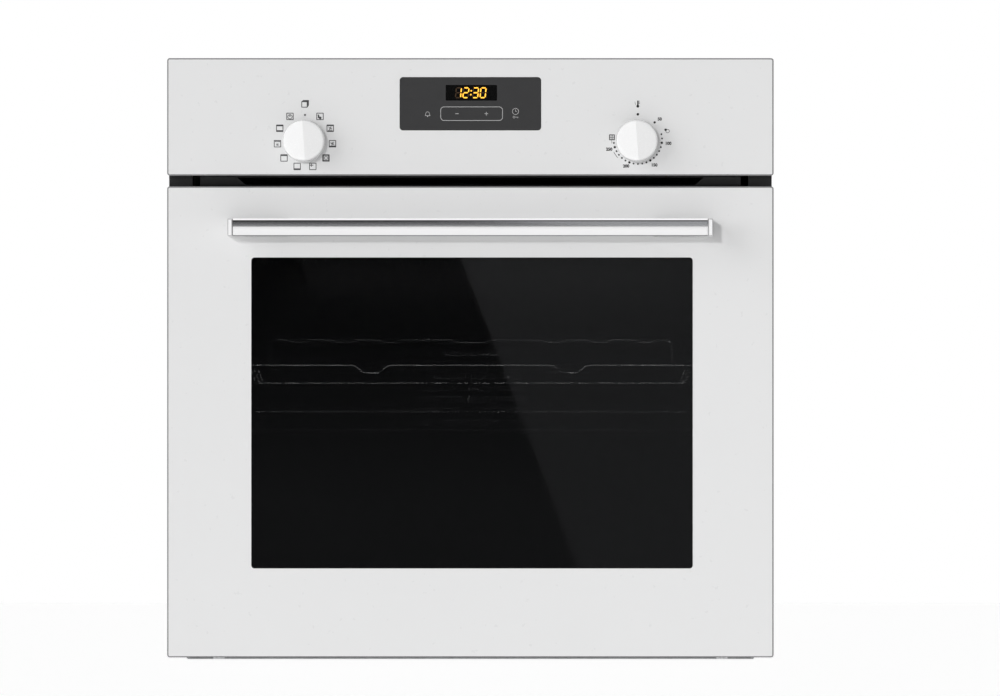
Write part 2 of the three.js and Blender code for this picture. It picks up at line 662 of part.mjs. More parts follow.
function addElectrics() {
  const bulbZ = 400;
  const line = wire([
    [KNOB_X, 42.3, KNOB_Z], [KNOB_X, 80, KNOB_Z], [200, 120, 490], [200, 480, 490],
    [200, 480, bulbZ], [200, 445, bulbZ],
  ], 1.2, 16, 4, 2);
  const probe = rod('y', [200, bulbZ], 3, 360, 450, 8);
  piece('thermostat_probe', join(line, probe), BRASS);

  const base = block(-230, -170, 505, 530, 516, 552);
  const ways = [0, 1, 2, 3].map((i) => block(-225 + i * 14, -217 + i * 14, 525, 532, 522, 546));
  piece('terminal_block', cut(base, ways), CERAMIC);
  const lid = block(-235.5, -164.5, BODY_DEPTH - 6, BODY_DEPTH - 0.2, 512.5, 555.5);
  piece('terminal_cover', cut(lid, rod('y', [-200, 520], 5, 530, 560)), BLACK_PLASTIC);
}

// ---- door ---------------------------------------------------------------------------------------

function addDoorGlass() {
  const outer = roundedRect(-HALF_FRONT, HALF_FRONT, DOOR_BOTTOM, DOOR_TOP, CORNER);
  for (const side of [-1, 1]) {
    const bore = new THREE.Path();
    bore.absarc(side * 212, HANDLE.centre, 3, 0, 2 * Math.PI, false);
    outer.holes.push(bore);
  }
  piece('door_outer_glass', upright(outer, FRONT_Y, FRONT_Y + GLASS), WHITE_GLASS);
  const middle = roundedRect(-STILE.inner + 1, STILE.inner - 1, 34, 438, 4);
  piece('door_middle_glass', upright(middle, 2, 5.2), CLEAR_GLASS);
  const inner = roundedRect(-258, 258, STILE.bottom, 446, 6);
  piece('door_inner_glass', upright(inner, DOOR_BACK - GLASS, DOOR_BACK), CLEAR_GLASS);
}

function addDoorFrame() {
  const back = DOOR_BACK - GLASS - GAP;
  const front = FRONT_Y + GLASS + GAP;
  for (const [name, side] of SIDES) {
    const a = STILE.inner;
    const b = STILE.outer;
    const channel = [[a, front], [b, front], [b, back], [b - 1.5, back], [b - 1.5, front + 1.5], [a, front + 1.5]];
    const points = side < 0 ? channel.map(([x, y]) => [-x, y]).reverse() : channel;
    const web = flat(polygon(points), STILE.bottom, STILE.top);
    const shelf = block(...span(side, a, b - 1), back - 1.5, back, STILE.bottom, 446);
    const tie = block(...span(side, b - 4, b - 1), front + 1, back, STILE.bottom, STILE.top);
    piece(`${name}_door_stile`, join(web, shelf, tie), GALVANISED);
  }
  const slots = [];
  for (let i = -6; i <= 6; i += 1) {
    slots.push(block(i * 34 - 12, i * 34 + 12, -8, 12, 450, 470));
  }
  const half = STILE.inner - GAP;
  const top = join(
    block(-half, half, front, back, 456, 461),
    block(-half, half, back - 3, back, 448, 457),
    block(-half, half, front, front + 2, 446, 457),
  );
  piece('door_top_rail', cut(top, slots), BLACK_PLASTIC);
  const bottom = join(
    block(-half, half, front, back, 16, 18),
    block(-half, half, front, front + 2, 16, 32),
    block(-half, half, back - 3, back, 16, 29),
  );
  piece('door_bottom_rail', bottom, GALVANISED);
}

function addHandle() {
  const { centre, height, depth, foot, bar } = HANDLE;
  const low = centre - height / 2;
  const high = centre + height / 2;
  const section = roundedRect(HANDLE_Y, HANDLE_Y + depth, low, high, 4);
  piece('handle_bar', sideways(section, -bar, bar, 5), STEEL);
  for (const [name, side] of SIDES) {
    const edge = HANDLE.half;
    const outline = polygon([
      [edge, HANDLE_Y], [edge, FRONT_Y - GAP], [edge - foot, FRONT_Y - GAP],
      [edge - foot + 8, FRONT_Y - 7], [bar - 14, FRONT_Y - 9], [bar - 8, HANDLE_Y + depth + 8],
      [bar - 8, HANDLE_Y + depth + GAP], [bar + GAP, HANDLE_Y + depth + GAP], [bar + GAP, HANDLE_Y],
    ].map(([x, y]) => [side * x, y]));
    const body = flat(outline, low, high);
    const bore = rod('y', [side * 212, centre], 2.4, FRONT_Y - 7, FRONT_Y + 2, 14);
    piece(`${name}_handle_foot`, cut(body, bore), STEEL);
  }
}

function addHinges() {
  for (const [name, side] of SIDES) {
    const x = side * HINGE_X;
    const around = (y, z, r, from, to) => {
      const path = new THREE.Shape();
      path.absarc(y, z, r, from, to, false);
      return path;
    };
    const ear = around(HINGE_Y, HINGE_Z, 6.5, Math.PI / 2, 1.5 * Math.PI);
    ear.lineTo(60, HINGE_Z - 6.5);
    ear.lineTo(60, 44);
    ear.lineTo(30, 44);
    ear.lineTo(27, HINGE_Z + 6.5);
    const bore = rod('x', [HINGE_Y, HINGE_Z], PIN_RADIUS + GAP, x - 30, x + 30);
    const plate = sideways(ear, x - 1.5, x + 1.5);
    piece(`${name}_hinge_ear`, cut(plate, bore), STEEL);
    piece(`${name}_hinge_pin`, rod('x', [HINGE_Y, HINGE_Z], PIN_RADIUS, x - 7, x + 7), STEEL);
    const cheeks = [-1, 1].map((s) => {
      const leaf = around(HINGE_Y, HINGE_Z, 6.5, Math.PI, 2 * Math.PI);
      leaf.lineTo(HINGE_Y + 6.5, 90);
      leaf.lineTo(HINGE_Y - 5, 90);
      leaf.lineTo(HINGE_Y - 5, 20);
      const from = x + s * 3.9 - 1.6;
      return sideways(leaf, from, from + 3.2);
    });
    const bridge = block(x - 5.5, x + 5.5, HINGE_Y - 5, HINGE_Y + 6.5, 60, 90);
    piece(`${name}_hinge_leaf`, cut(join(cheeks[0], cheeks[1], bridge), bore), STEEL);
  }
}

addHousing();
addPanelCarrier();
addControlPanel();
addKnobs();
addCavity();
addShelfLadders();
addWireShelf();
addTray();
addHeaters();
addFan();
addLamp();
addAirPath();
addElectrics();
addDoorGlass();
addDoorFrame();
addHandle();
addHinges();

const group = new THREE.Group();
oven.position.y = -DEPTH_CENTRE;
group.add(oven);

export default group;
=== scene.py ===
"""The looks of a built-in wall oven with a white glass front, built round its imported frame.

Every length is in metres. Places come from the frame's node boxes; MM turns millimetres to metres.
"""

import json
import logging
import math
from dataclasses import dataclass, field
from enum import Enum
from typing import Iterable, Sequence

import bmesh
import bpy
from mathutils import Matrix, Vector

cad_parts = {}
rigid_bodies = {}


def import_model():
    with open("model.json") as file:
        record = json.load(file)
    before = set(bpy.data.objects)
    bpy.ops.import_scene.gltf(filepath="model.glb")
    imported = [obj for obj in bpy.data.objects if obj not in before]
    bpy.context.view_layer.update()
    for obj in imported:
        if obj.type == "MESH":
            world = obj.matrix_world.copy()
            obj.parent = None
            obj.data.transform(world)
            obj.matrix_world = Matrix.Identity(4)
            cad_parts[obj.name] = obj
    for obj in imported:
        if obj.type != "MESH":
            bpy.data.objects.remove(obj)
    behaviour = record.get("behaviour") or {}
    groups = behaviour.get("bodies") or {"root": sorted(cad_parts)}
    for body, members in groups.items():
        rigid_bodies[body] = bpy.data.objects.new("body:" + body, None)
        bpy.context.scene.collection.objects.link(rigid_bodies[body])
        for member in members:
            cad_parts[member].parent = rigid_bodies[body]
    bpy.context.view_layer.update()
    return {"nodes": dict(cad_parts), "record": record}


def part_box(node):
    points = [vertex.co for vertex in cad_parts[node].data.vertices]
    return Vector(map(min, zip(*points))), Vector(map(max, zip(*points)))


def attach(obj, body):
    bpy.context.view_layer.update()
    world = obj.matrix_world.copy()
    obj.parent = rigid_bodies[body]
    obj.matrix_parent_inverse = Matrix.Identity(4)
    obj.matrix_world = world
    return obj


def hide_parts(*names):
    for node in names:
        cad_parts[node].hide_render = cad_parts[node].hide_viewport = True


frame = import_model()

MM = 0.001
PRINT_FILM = 0.05 * MM
FULL_TURN = 2 * math.pi
Point = tuple[float, float]
Colour = tuple[float, float, float]
log = logging.getLogger("oven")


class Side(Enum):
    """The two sides of a mirrored pair, by the sign of x."""

    LEFT = -1
    RIGHT = 1

    @property
    def word(self) -> str:
        """The side's name in node names."""
        return self.name.lower()


class Facing(Enum):
    """The way a flat outline is laid: which axes its two numbers run along, and its thickness."""

    FRONT = (0, 2, 1)
    ABOVE = (0, 1, 2)
    SIDE = (1, 2, 0)


# ---- finishes -----------------------------------------------------------------------------------


class Graph:
    """A material's node tree with one Principled shader, and short ways to add to it."""

    def __init__(self, name: str) -> None:
        """Start a material.

        Args:
            name: the material's name.
        """
        self.material = bpy.data.materials.new(name)
        self.material.use_nodes = True
        self.tree = self.material.node_tree
        self.shader = self.tree.nodes["Principled BSDF"]
        self.place = self.tree.nodes.new("ShaderNodeTexCoord").outputs["Object"]

    def node(self, kind: str, **values: object) -> bpy.types.Node:
        """Add a node.

        Args:
            kind: the node type after "ShaderNode".
            values: attributes of the node to set.

        Returns:
            The new node.
        """
        made = self.tree.nodes.new("ShaderNode" + kind)
        for key, value in values.items():
            setattr(made, key, value)
        return made

    def feed(self, socket: bpy.types.NodeSocket, source: bpy.types.NodeSocket) -> None:
        """Link a source into a socket."""
        self.tree.links.new(source, socket)

    def stretched(self, stretch: Sequence[float]) -> bpy.types.NodeSocket:
        """Object coordinates scaled along each axis.

        Args:
            stretch: the scale along each axis.

        Returns:
            The coordinates' socket.
        """
        mapping = self.node("Mapping")
        mapping.inputs["Scale"].default_value = tuple(stretch)
        self.feed(mapping.inputs["Vector"], self.place)
        return mapping.outputs["Vector"]

    def noise(self, scale: float, detail: float = 3.0,
              stretch: Sequence[float] = (1, 1, 1)) -> bpy.types.NodeSocket:
        """A soft random field.

        Args:
            scale: how many grains in a metre.
            detail: how many finer layers it has.
            stretch: extra scale along each axis.

        Returns:
            The field's value socket.
        """
        field = self.node("TexNoise")
        field.inputs["Scale"].default_value = scale
        field.inputs["Detail"].default_value = detail
        self.feed(field.inputs["Vector"], self.stretched(stretch))
        return field.outputs["Fac"]

    def cells(self, scale: float) -> bpy.types.NodeSocket:
        """Random flat cells, as the crystals of a zinc coat are.

        Args:
            scale: how many cells in a metre.

        Returns:
            The socket of each cell's value.
        """
        field = self.node("TexVoronoi")
        field.inputs["Scale"].default_value = scale
        self.feed(field.inputs["Vector"], self.place)
        split = self.node("SeparateColor")
        self.feed(split.inputs["Color"], field.outputs["Color"])
        return split.outputs["Red"]

    def ramp(self, source: bpy.types.NodeSocket, low: float, high: float,
             from_low: float = 0.3, from_high: float = 0.7) -> bpy.types.NodeSocket:
        """Spread a number between two values.

        Args:
            source: the number.
            low: the result at and below from_low.
            high: the result at and above from_high.
            from_low: lower end of the number's range.
            from_high: upper end of the number's range.

        Returns:
            The result's socket.
        """
        spread = self.node("MapRange")
        limits = {"From Min": from_low, "From Max": from_high, "To Min": low, "To Max": high}
        for key, value in limits.items():
            spread.inputs[key].default_value = value
        self.feed(spread.inputs["Value"], source)
        return spread.outputs["Result"]

    def tint(self, source: bpy.types.NodeSocket, low: Colour, high: Colour) -> bpy.types.NodeSocket:
        """A colour between two colours.

        Args:
            source: how far it lies from the first to the second, 0 to 1.
            low: the first colour.
            high: the second colour.

        Returns:
            The colour's socket.
        """
        mix = self.node("Mix", data_type="RGBA")
        ends = [socket for socket in mix.inputs if socket.type == "RGBA"]
        for end, colour in zip(ends, (low, high)):
            end.default_value = (*colour, 1)
        self.feed(mix.inputs[0], source)
        return next(socket for socket in mix.outputs if socket.type == "RGBA")

    def bump(self, height: bpy.types.NodeSocket, strength: float, distance: float) -> None:
        """Raise the surface by a height field.

        Args:
            height: the height field.
            strength: how much of it shows, 0 to 1.
            distance: how far its full range reaches, in metres.
        """
        node = self.node("Bump")
        node.inputs["Strength"].default_value = strength
        node.inputs["Distance"].default_value = distance
        self.feed(node.inputs["Height"], height)
        self.feed(self.shader.inputs["Normal"], node.outputs["Normal"])


@dataclass(frozen=True)
class Finish:
    """A surface finish: base colour and gloss, with a grain that varies both."""

    name: str
    colour: Colour
    roughness: float = 0.4
    metallic: float = 0.0
    spread: float = 0.06
    grain: float = 400.0
    stretch: tuple[float, float, float] = (1, 1, 1)
    relief: float = 0.05
    coat: float = 0.0
    specular: float = 0.5

    def shades(self) -> tuple[Colour, Colour]:
        """The finish's colour made a little darker and a little lighter.

        Returns:
            The darker colour and the lighter one.
        """
        dark = tuple(c * (1 - self.spread) for c in self.colour)
        light = tuple(min(c * (1 + self.spread), 1) for c in self.colour)
        return dark, light

    def build(self) -> bpy.types.Material:
        """Make the material.

        Returns:
            The material, with its whole node tree.
        """
        graph = Graph(self.name)
        sockets = graph.shader.inputs
        sockets["Metallic"].default_value = self.metallic
        sockets["Specular IOR Level"].default_value = self.specular
        sockets["Coat Weight"].default_value = self.coat
        sockets["Coat Roughness"].default_value = 0.04
        self.surface(graph)
        return graph.material

    def surface(self, graph: Graph) -> None:
        """Vary colour, roughness and relief with a fine grain.

        Args:
            graph: the material's node tree.
        """
        grain = graph.noise(self.grain, 4, self.stretch)
        cloud = graph.noise(14, 2)
        graph.feed(graph.shader.inputs["Base Color"], graph.tint(cloud, *self.shades()))
        rough = graph.ramp(grain, self.roughness * 0.85, min(self.roughness * 1.15, 1))
        graph.feed(graph.shader.inputs["Roughness"], rough)
        graph.bump(grain, self.relief, 0.0004)


@dataclass(frozen=True)
class ZincSheet(Finish):
    """Zinc-coated sheet: flat crystals a few millimetres wide and faint rolling streaks."""

    def surface(self, graph: Graph) -> None:
        """Lay spangle cells over streaks.

        Args:
            graph: the material's node tree.
        """
        cell = graph.cells(self.grain)
        streak = graph.noise(60, 3, self.stretch)
        graph.feed(graph.shader.inputs["Base Color"], graph.tint(cell, *self.shades()))
        blend = graph.node("Math", operation="ADD")
        graph.feed(blend.inputs[0], graph.ramp(cell, 0, 0.12, 0, 1))
        graph.feed(blend.inputs[1], graph.ramp(streak, self.roughness * 0.85, self.roughness * 1.1))
        graph.feed(graph.shader.inputs["Roughness"], blend.outputs[0])
        graph.bump(streak, self.relief, 0.0003)


@dataclass(frozen=True)
class Enamel(Finish):
    """Fired enamel: dark glassy coat with pale specks and a faint orange-peel surface."""

    def surface(self, graph: Graph) -> None:
        """Scatter small specks on the coat.

        Args:
            graph: the material's node tree.
        """
        speck = graph.ramp(graph.noise(1400, 1), 0, 1, 0.66, 0.74)
        pale = tuple(c * 3 + 0.02 for c in self.colour)
        graph.feed(graph.shader.inputs["Base Color"], graph.tint(speck, self.colour, pale))
        peel = graph.noise(self.grain, 2)
        rough = graph.ramp(peel, self.roughness * 0.8, self.roughness * 1.2)
        graph.feed(graph.shader.inputs["Roughness"], rough)
        graph.bump(peel, self.relief, 0.0003)


@dataclass(frozen=True)
class SeenThrough(Finish):
    """Coated glass that lets part of the view through and mirrors like any polished glass."""

    clearness: float = 0.5

    def surface(self, graph: Graph) -> None:
        """Let part of the light through and leave faint wipe marks in the gloss.

        Args:
            graph: the material's node tree.
        """
        graph.shader.inputs["Alpha"].default_value = 1 - self.clearness
        wipe = graph.noise(9, 2, self.stretch)
        graph.feed(graph.shader.inputs["Base Color"], graph.tint(wipe, *self.shades()))
        graph.feed(graph.shader.inputs["Roughness"], graph.ramp(wipe, self.roughness, self.roughness + 0.02))
        graph.material.surface_render_method = "BLENDED"


@dataclass(frozen=True)
class Glow(Finish):
    """A display segment that gives off light: a lit one, or an unlit one with a faint painted glow."""

    power: float = 1.0

    def surface(self, graph: Graph) -> None:
        """Light the segment, a little uneven over its length.

        Args:
            graph: the material's node tree.
        """
        uneven = graph.noise(900, 1)
        graph.feed(graph.shader.inputs["Base Color"], graph.tint(uneven, *self.shades()))
        graph.feed(graph.shader.inputs["Emission Color"], graph.tint(uneven, *self.shades()))
        graph.shader.inputs["Emission Strength"].default_value = self.power
        graph.shader.inputs["Roughness"].default_value = self.roughness


FINISHES: dict[str, Finish] = {f.name: f for f in (
    Finish("white_glass", (0.69, 0.691, 0.693), 0.32, spread=0.006, grain=160, relief=0.0, coat=0.35),
    # Grey of the glass plates' ground edges; the handle bar's lower edge also wears it as painted shade.
    Finish("ground_edge_and_painted_shade", (0.2, 0.2, 0.205), 0.42, spread=0.1, grain=900, relief=0.2),
    # Darker grey for the handle feet's bevels: painted shade that outlines the caps.
    Finish("painted_edge_shade", (0.5, 0.5, 0.505), 0.4, 0.3, 0.06, 700, relief=0.05),
    SeenThrough("window_glass", (0.0015, 0.0016, 0.0018), 0.01, spread=0.3, clearness=0.36,
                stretch=(1, 1, 2)),
    SeenThrough("clear_glass", (0.008, 0.009, 0.01), 0.01, spread=0.2, clearness=0.8),
    SeenThrough("lamp_glass_finish", (0.5, 0.5, 0.48), 0.05, spread=0.1, clearness=0.6),
    Finish("display_lens", (0.031, 0.031, 0.032), 0.4, spread=0.01, grain=300, relief=0.0, coat=0.0),
    Finish("display_black", (0.003, 0.003, 0.003), 0.12, spread=0.2, grain=300, relief=0.0),
    Glow("amber_segment", (1.0, 0.48, 0.045), 0.4, spread=0.04, power=0.95),
    # Unlit segments: their own faint amber, plus a faint painted glow.
    Glow("unlit_segment_painted_glow", (0.03, 0.014, 0.003), 0.5, spread=0.1, power=0.3),
    Finish("light_print", (0.42, 0.42, 0.42), 0.5, spread=0.03, relief=0.02),
    Finish("grey_print", (0.05, 0.05, 0.052), 0.5, spread=0.05, relief=0.02),
    Finish("black_print", (0.012, 0.012, 0.012), 0.5, spread=0.05, relief=0.02),
    Finish("white_plastic", (0.8, 0.8, 0.802), 0.26, spread=0.01, grain=1500, relief=0.015, coat=0.25),
    Finish("black_plastic", (0.008, 0.008, 0.0085), 0.45, spread=0.15, grain=1800, relief=0.25),
    Finish("bright_steel", (0.9, 0.9, 0.905), 0.09, 1.0, 0.02, 260, (0.02, 1, 3), 0.012),
    Finish("satin_steel", (0.86, 0.86, 0.865), 0.5, 0.15, 0.03, 500, (1, 1, 1), 0.03),
    Finish("machined_steel", (0.55, 0.55, 0.56), 0.33, 1.0, 0.08, 500, (1, 1, 0.1), 0.08),
    Finish("chrome_wire", (0.62, 0.62, 0.63), 0.24, 1.0, 0.12, 240, (1, 1, 1), 0.03),
    ZincSheet("galvanised_steel", (0.6, 0.612, 0.62), 0.38, 1.0, 0.05, 170, (1, 0.05, 0.05), 0.03),
    Finish("grey_paint", (0.016, 0.016, 0.017), 0.4, spread=0.12, grain=900, relief=0.12),
    Enamel("dark_enamel", (0.010, 0.010, 0.012), 0.22, grain=220, relief=0.05),
    # Lighter grey for the tray's rolled rim: a painted highlight along the rim.
    Finish("rim_painted_highlight", (0.2, 0.2, 0.205), 0.3, spread=0.1, grain=300, relief=0.05),
    Finish("heater_sheath", (0.12, 0.11, 0.105), 0.5, 0.8, 0.25, 300, (1, 1, 1), 0.15),
    Finish("mineral_wool", (0.55, 0.47, 0.27), 0.95, spread=0.25, grain=260, stretch=(1, 4, 1), relief=0.9),
    Finish("seal_rubber", (0.025, 0.025, 0.027), 0.75, spread=0.2, grain=1200, relief=0.5),
    Finish("ceramic", (0.72, 0.68, 0.6), 0.55, spread=0.06, grain=700, relief=0.1),
    Finish("brass", (0.55, 0.38, 0.18), 0.3, 1.0, 0.12, 300, (1, 1, 1), 0.05),
)}
MATERIALS: dict[str, bpy.types.Material] = {}


def material(name: str) -> bpy.types.Material:
    """The material of a finish, made the first time it is asked for.

    Args:
        name: the finish's name.

    Returns:
        The material.
    """
    if name not in MATERIALS:
        MATERIALS[name] = FINISHES[name].build()
    return MATERIALS[name]


# ---- mesh work ----------------------------------------------------------------------------------


def rounded_rect(x0: float, x1: float, z0: float, z1: float, radius: float, steps: int = 8) -> list[Point]:
    """A rectangle with round corners.

    Args:
        x0: left edge.
        x1: right edge.
        z0: lower edge.
        z1: upper edge.
        radius: of the corners.
        steps: how many stretches each corner has.

    Returns:
        The outline, anticlockwise.
    """
    centres = [(x1 - radius, z0 + radius, -0.25), (x1 - radius, z1 - radius, 0.0),
               (x0 + radius, z1 - radius, 0.25), (x0 + radius, z0 + radius, 0.5)]
    outline = []
    for cx, cz, turn in centres:
        for i in range(steps + 1):
            angle = (turn + 0.25 * i / steps) * FULL_TURN
            outline.append((cx + radius * math.cos(angle), cz + radius * math.sin(angle)))
    return outline


def circle(x: float, z: float, radius: float, steps: int = 40) -> list[Point]:
    """A round outline."""
    return [(x + radius * math.cos(FULL_TURN * i / steps), z + radius * math.sin(FULL_TURN * i / steps))
            for i in range(steps)]


class Body:
    """A mesh in the making: outlines are added to it as slabs, rings and stacks of rings."""

    def __init__(self) -> None:
        """Start with nothing."""
        self.bm = bmesh.new()

    def vert(self, facing: Facing, a: float, b: float, c: float) -> bmesh.types.BMVert:
        """A vertex at (a, b) on the outline's plane and c through its thickness.

        Args:
            facing: the way the outline is laid.
            a: place along the plane's first axis.
            b: place along the plane's second axis.
            c: place through the thickness.

        Returns:
            The vertex.
        """
        place = [0.0, 0.0, 0.0]
        for axis, value in zip(facing.value, (a, b, c)):
            place[axis] = value
        return self.bm.verts.new(place)

    def loft(self, rings: Sequence[tuple[Sequence[Point], float]], facing: Facing = Facing.FRONT,
             closed: bool = False, slots: Sequence[int] = ()) -> None:
        """Join rings of equal count with bands of faces, and cap the ends unless it closes on itself.

        Args:
            rings: each an outline and its place through the thickness.
            facing: the way the outlines are laid.
            closed: True if the last ring joins the first, as round a frame.
            slots: the material slot of each band.
        """
        made = [[self.vert(facing, a, b, depth) for a, b in outline] for outline, depth in rings]
        count = len(made[0])
        pairs = list(zip(made, made[1:] + made[:1] if closed else made[1:]))
        for k, (lower, upper) in enumerate(pairs):
            for i in range(count):
                j = (i + 1) % count
                face = self.bm.faces.new((lower[i], lower[j], upper[j], upper[i]))
                face.material_index = slots[k] if k < len(slots) else 0
        if not closed:
            self.bm.faces.new(made[0])
            self.bm.faces.new(made[-1])

    def slab(self, outline: Sequence[Point], low: float, high: float, facing: Facing = Facing.FRONT) -> None:
        """A flat piece of one outline."""
        self.loft([(outline, low), (outline, high)], facing)

    def finish(self, name: str, body: str, finish: str, slot: str, replaces: Iterable[str] = (),
               more: Sequence[str] = (), bevel: float = 0.0, crease: float = 30.0) -> bpy.types.Object:
        """Turn the mesh into a finished piece of the oven.

        Args:
            name: the piece's name.
            body: the body that it rides on.
            finish: its main finish.
            slot: not used.
            replaces: the frame nodes that it stands for.
            more: further finishes, for faces of slot 1 and up.
            bevel: width of the bevel on its sharp edges, 0 for none.
            crease: the angle in degrees past which an edge stays sharp.

        Returns:
            The piece's object.
        """
        bmesh.ops.recalc_face_normals(self.bm, faces=self.bm.faces)
        for face in self.bm.faces:
            face.smooth = True
        mesh = bpy.data.meshes.new(name)
        self.bm.to_mesh(mesh)
        self.bm.free()
        mesh.set_sharp_from_angle(angle=math.radians(crease))
        return place_piece(name, mesh, body, [finish, *more], replaces, bevel)


def place_piece(name: str, mesh: bpy.types.Mesh, body: str, finishes: Sequence[str],
                replaces: Iterable[str] = (), bevel: float = 0.0) -> bpy.types.Object:
    """Put a finished mesh into the scene as a piece of the oven.

    Args:
        name: the piece's name.
        mesh: its mesh.
        body: the body that it rides on.
        finishes: its finishes, one for each material slot.
        replaces: the frame nodes that it stands for.
        bevel: width of the bevel on its sharp edges, 0 for none.

    Returns:
        The piece's object.
    """
    piece = bpy.data.objects.new(name, mesh)
    bpy.context.scene.collection.objects.link(piece)
    if not mesh.materials:
        for finish in finishes:
            mesh.materials.append(material(finish))
    if bevel:
        edge = piece.modifiers.new("edge", "BEVEL")
        edge.width = bevel
        edge.segments = 3
        edge.limit_method = "ANGLE"
        edge.angle_limit = math.radians(35)
        edge.harden_normals = True
    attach(piece, body)
    nodes = list(replaces)
    if nodes:
        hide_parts(*nodes)
    log.info("%s: %d faces on %s", name, len(mesh.polygons), body)
    return piece


# ---- node tools: wires, screws and dots -----------------------------------------------------------


class NodeTool:
    """A Geometry Nodes tree with named inputs, run once on a source mesh."""

    def __init__(self, name: str, inputs: Sequence[tuple[str, str]]) -> None:
        """Start the tree.

        Args:
            name: the tree's name.
            inputs: (name, socket type after "NodeSocket") of each input after the geometry.
        """
        self.tree = bpy.data.node_groups.new(name, "GeometryNodeTree")
        side = self.tree.interface
        side.new_socket("Geometry", in_out="INPUT", socket_type="NodeSocketGeometry")
        side.new_socket("Geometry", in_out="OUTPUT", socket_type="NodeSocketGeometry")
        self.ids = {n: side.new_socket(n, in_out="INPUT", socket_type="NodeSocket" + kind).identifier
                    for n, kind in inputs}
        self.entry = self.tree.nodes.new("NodeGroupInput")
        self.exit = self.tree.nodes.new("NodeGroupOutput")

    def add(self, kind: str, feeds: dict[str | int, object] | None = None, **values: object) -> bpy.types.Node:
        """Add a node and feed its inputs.

        Args:
            kind: the full node type.
            feeds: for each input, a socket to link or a value to set.
            values: attributes of the node to set.

        Returns:
            The new node.
        """
        node = self.tree.nodes.new(kind)
        for key, value in values.items():
            setattr(node, key, value)
        for key, value in (feeds or {}).items():
            if isinstance(value, bpy.types.NodeSocket):
                self.tree.links.new(value, node.inputs[key])
            else:
                node.inputs[key].default_value = value
        return node

    def close(self, source: bpy.types.NodeSocket) -> None:
        """End the tree in real, smooth-shaded geometry with its material set.

        Args:
            source: the geometry to end with.
        """
        real = self.add("GeometryNodeRealizeInstances", {0: source})
        dressed = self.add("GeometryNodeSetMaterial", {0: real.outputs[0],
                                                       "Material": self.entry.outputs["Material"]})
        self.tree.links.new(dressed.outputs[0], self.exit.inputs[0])

    def run(self, name: str, source: bpy.types.Mesh, values: dict[str, object], body: str, finish: str,
            slot: str, replaces: Iterable[str] = ()) -> bpy.types.Object:
        """Run the tree on a mesh and keep the result as a plain piece.

        Args:
            name: the piece's name.
            source: the mesh that the tree works on.
            values: the value of each named input.
            body: the body that the piece rides on.
            finish: its finish.
            slot: not used.
            replaces: the frame nodes that it stands for.

        Returns:
            The piece's object.
        """
        carrier = bpy.data.objects.new(name + "_source", source)
        bpy.context.scene.collection.objects.link(carrier)
        tool = carrier.modifiers.new("tool", "NODES")
        tool.node_group = self.tree
        for key, value in {**values, "Material": material(finish)}.items():
            tool[self.ids[key]] = value
        graph = bpy.context.evaluated_depsgraph_get()
        mesh = bpy.data.meshes.new_from_object(carrier.evaluated_get(graph), depsgraph=graph)
        mesh.name = name
        carrier.modifiers.remove(tool)
        bpy.data.objects.remove(carrier)
        for face in mesh.polygons:
            face.use_smooth = True
        mesh.set_sharp_from_angle(angle=math.radians(50))
        return place_piece(name, mesh, body, [finish], replaces)


def line_mesh(name: str, lines: Iterable[Sequence[Sequence[float]]]) -> bpy.types.Mesh:
    """A mesh of loose polylines, each a list of points.

    Args:
        name: the mesh's name.
        lines: the polylines.

    Returns:
        The mesh.
    """
    verts: list[Sequence[float]] = []
    edges: list[tuple[int, int]] = []
    for line in lines:
        start = len(verts)
        verts.extend(line)
        edges.extend((i, i + 1) for i in range(start, len(verts) - 1))
    mesh = bpy.data.meshes.new(name)
    mesh.from_pydata(verts, edges, [])
    return mesh


def wire_tool() -> NodeTool:
    """A tool that turns polylines into round bent wires.

    Returns:
        The tool.
    """
    tool = NodeTool("bent_wire", [("Radius", "Float"), ("Bend", "Float"), ("Material", "Material")])
    entry = tool.entry.outputs
    curve = tool.add("GeometryNodeMeshToCurve", {0: entry["Geometry"]})
    bent = tool.add("GeometryNodeFilletCurve", {"Curve": curve.outputs[0], "Radius": entry["Bend"],
                                                "Count": 6, "Limit Radius": True}, mode="POLY")
    section = tool.add("GeometryNodeCurvePrimitiveCircle", {"Resolution": 14, "Radius": entry["Radius"]})
    tube = tool.add("GeometryNodeCurveToMesh", {"Curve": bent.outputs[0], "Profile Curve": section.outputs[0],
                                                "Fill Caps": True})
    tool.close(tube.outputs[0])
    return tool


SCREW_SIDES = 28
SCREW_HEIGHT = 0.5
SCREW_CROWN = 0.7
SLOT_WIDTH = 0.26
SLOT_LENGTH = 1.15
SLOT_LIFT = 1.35


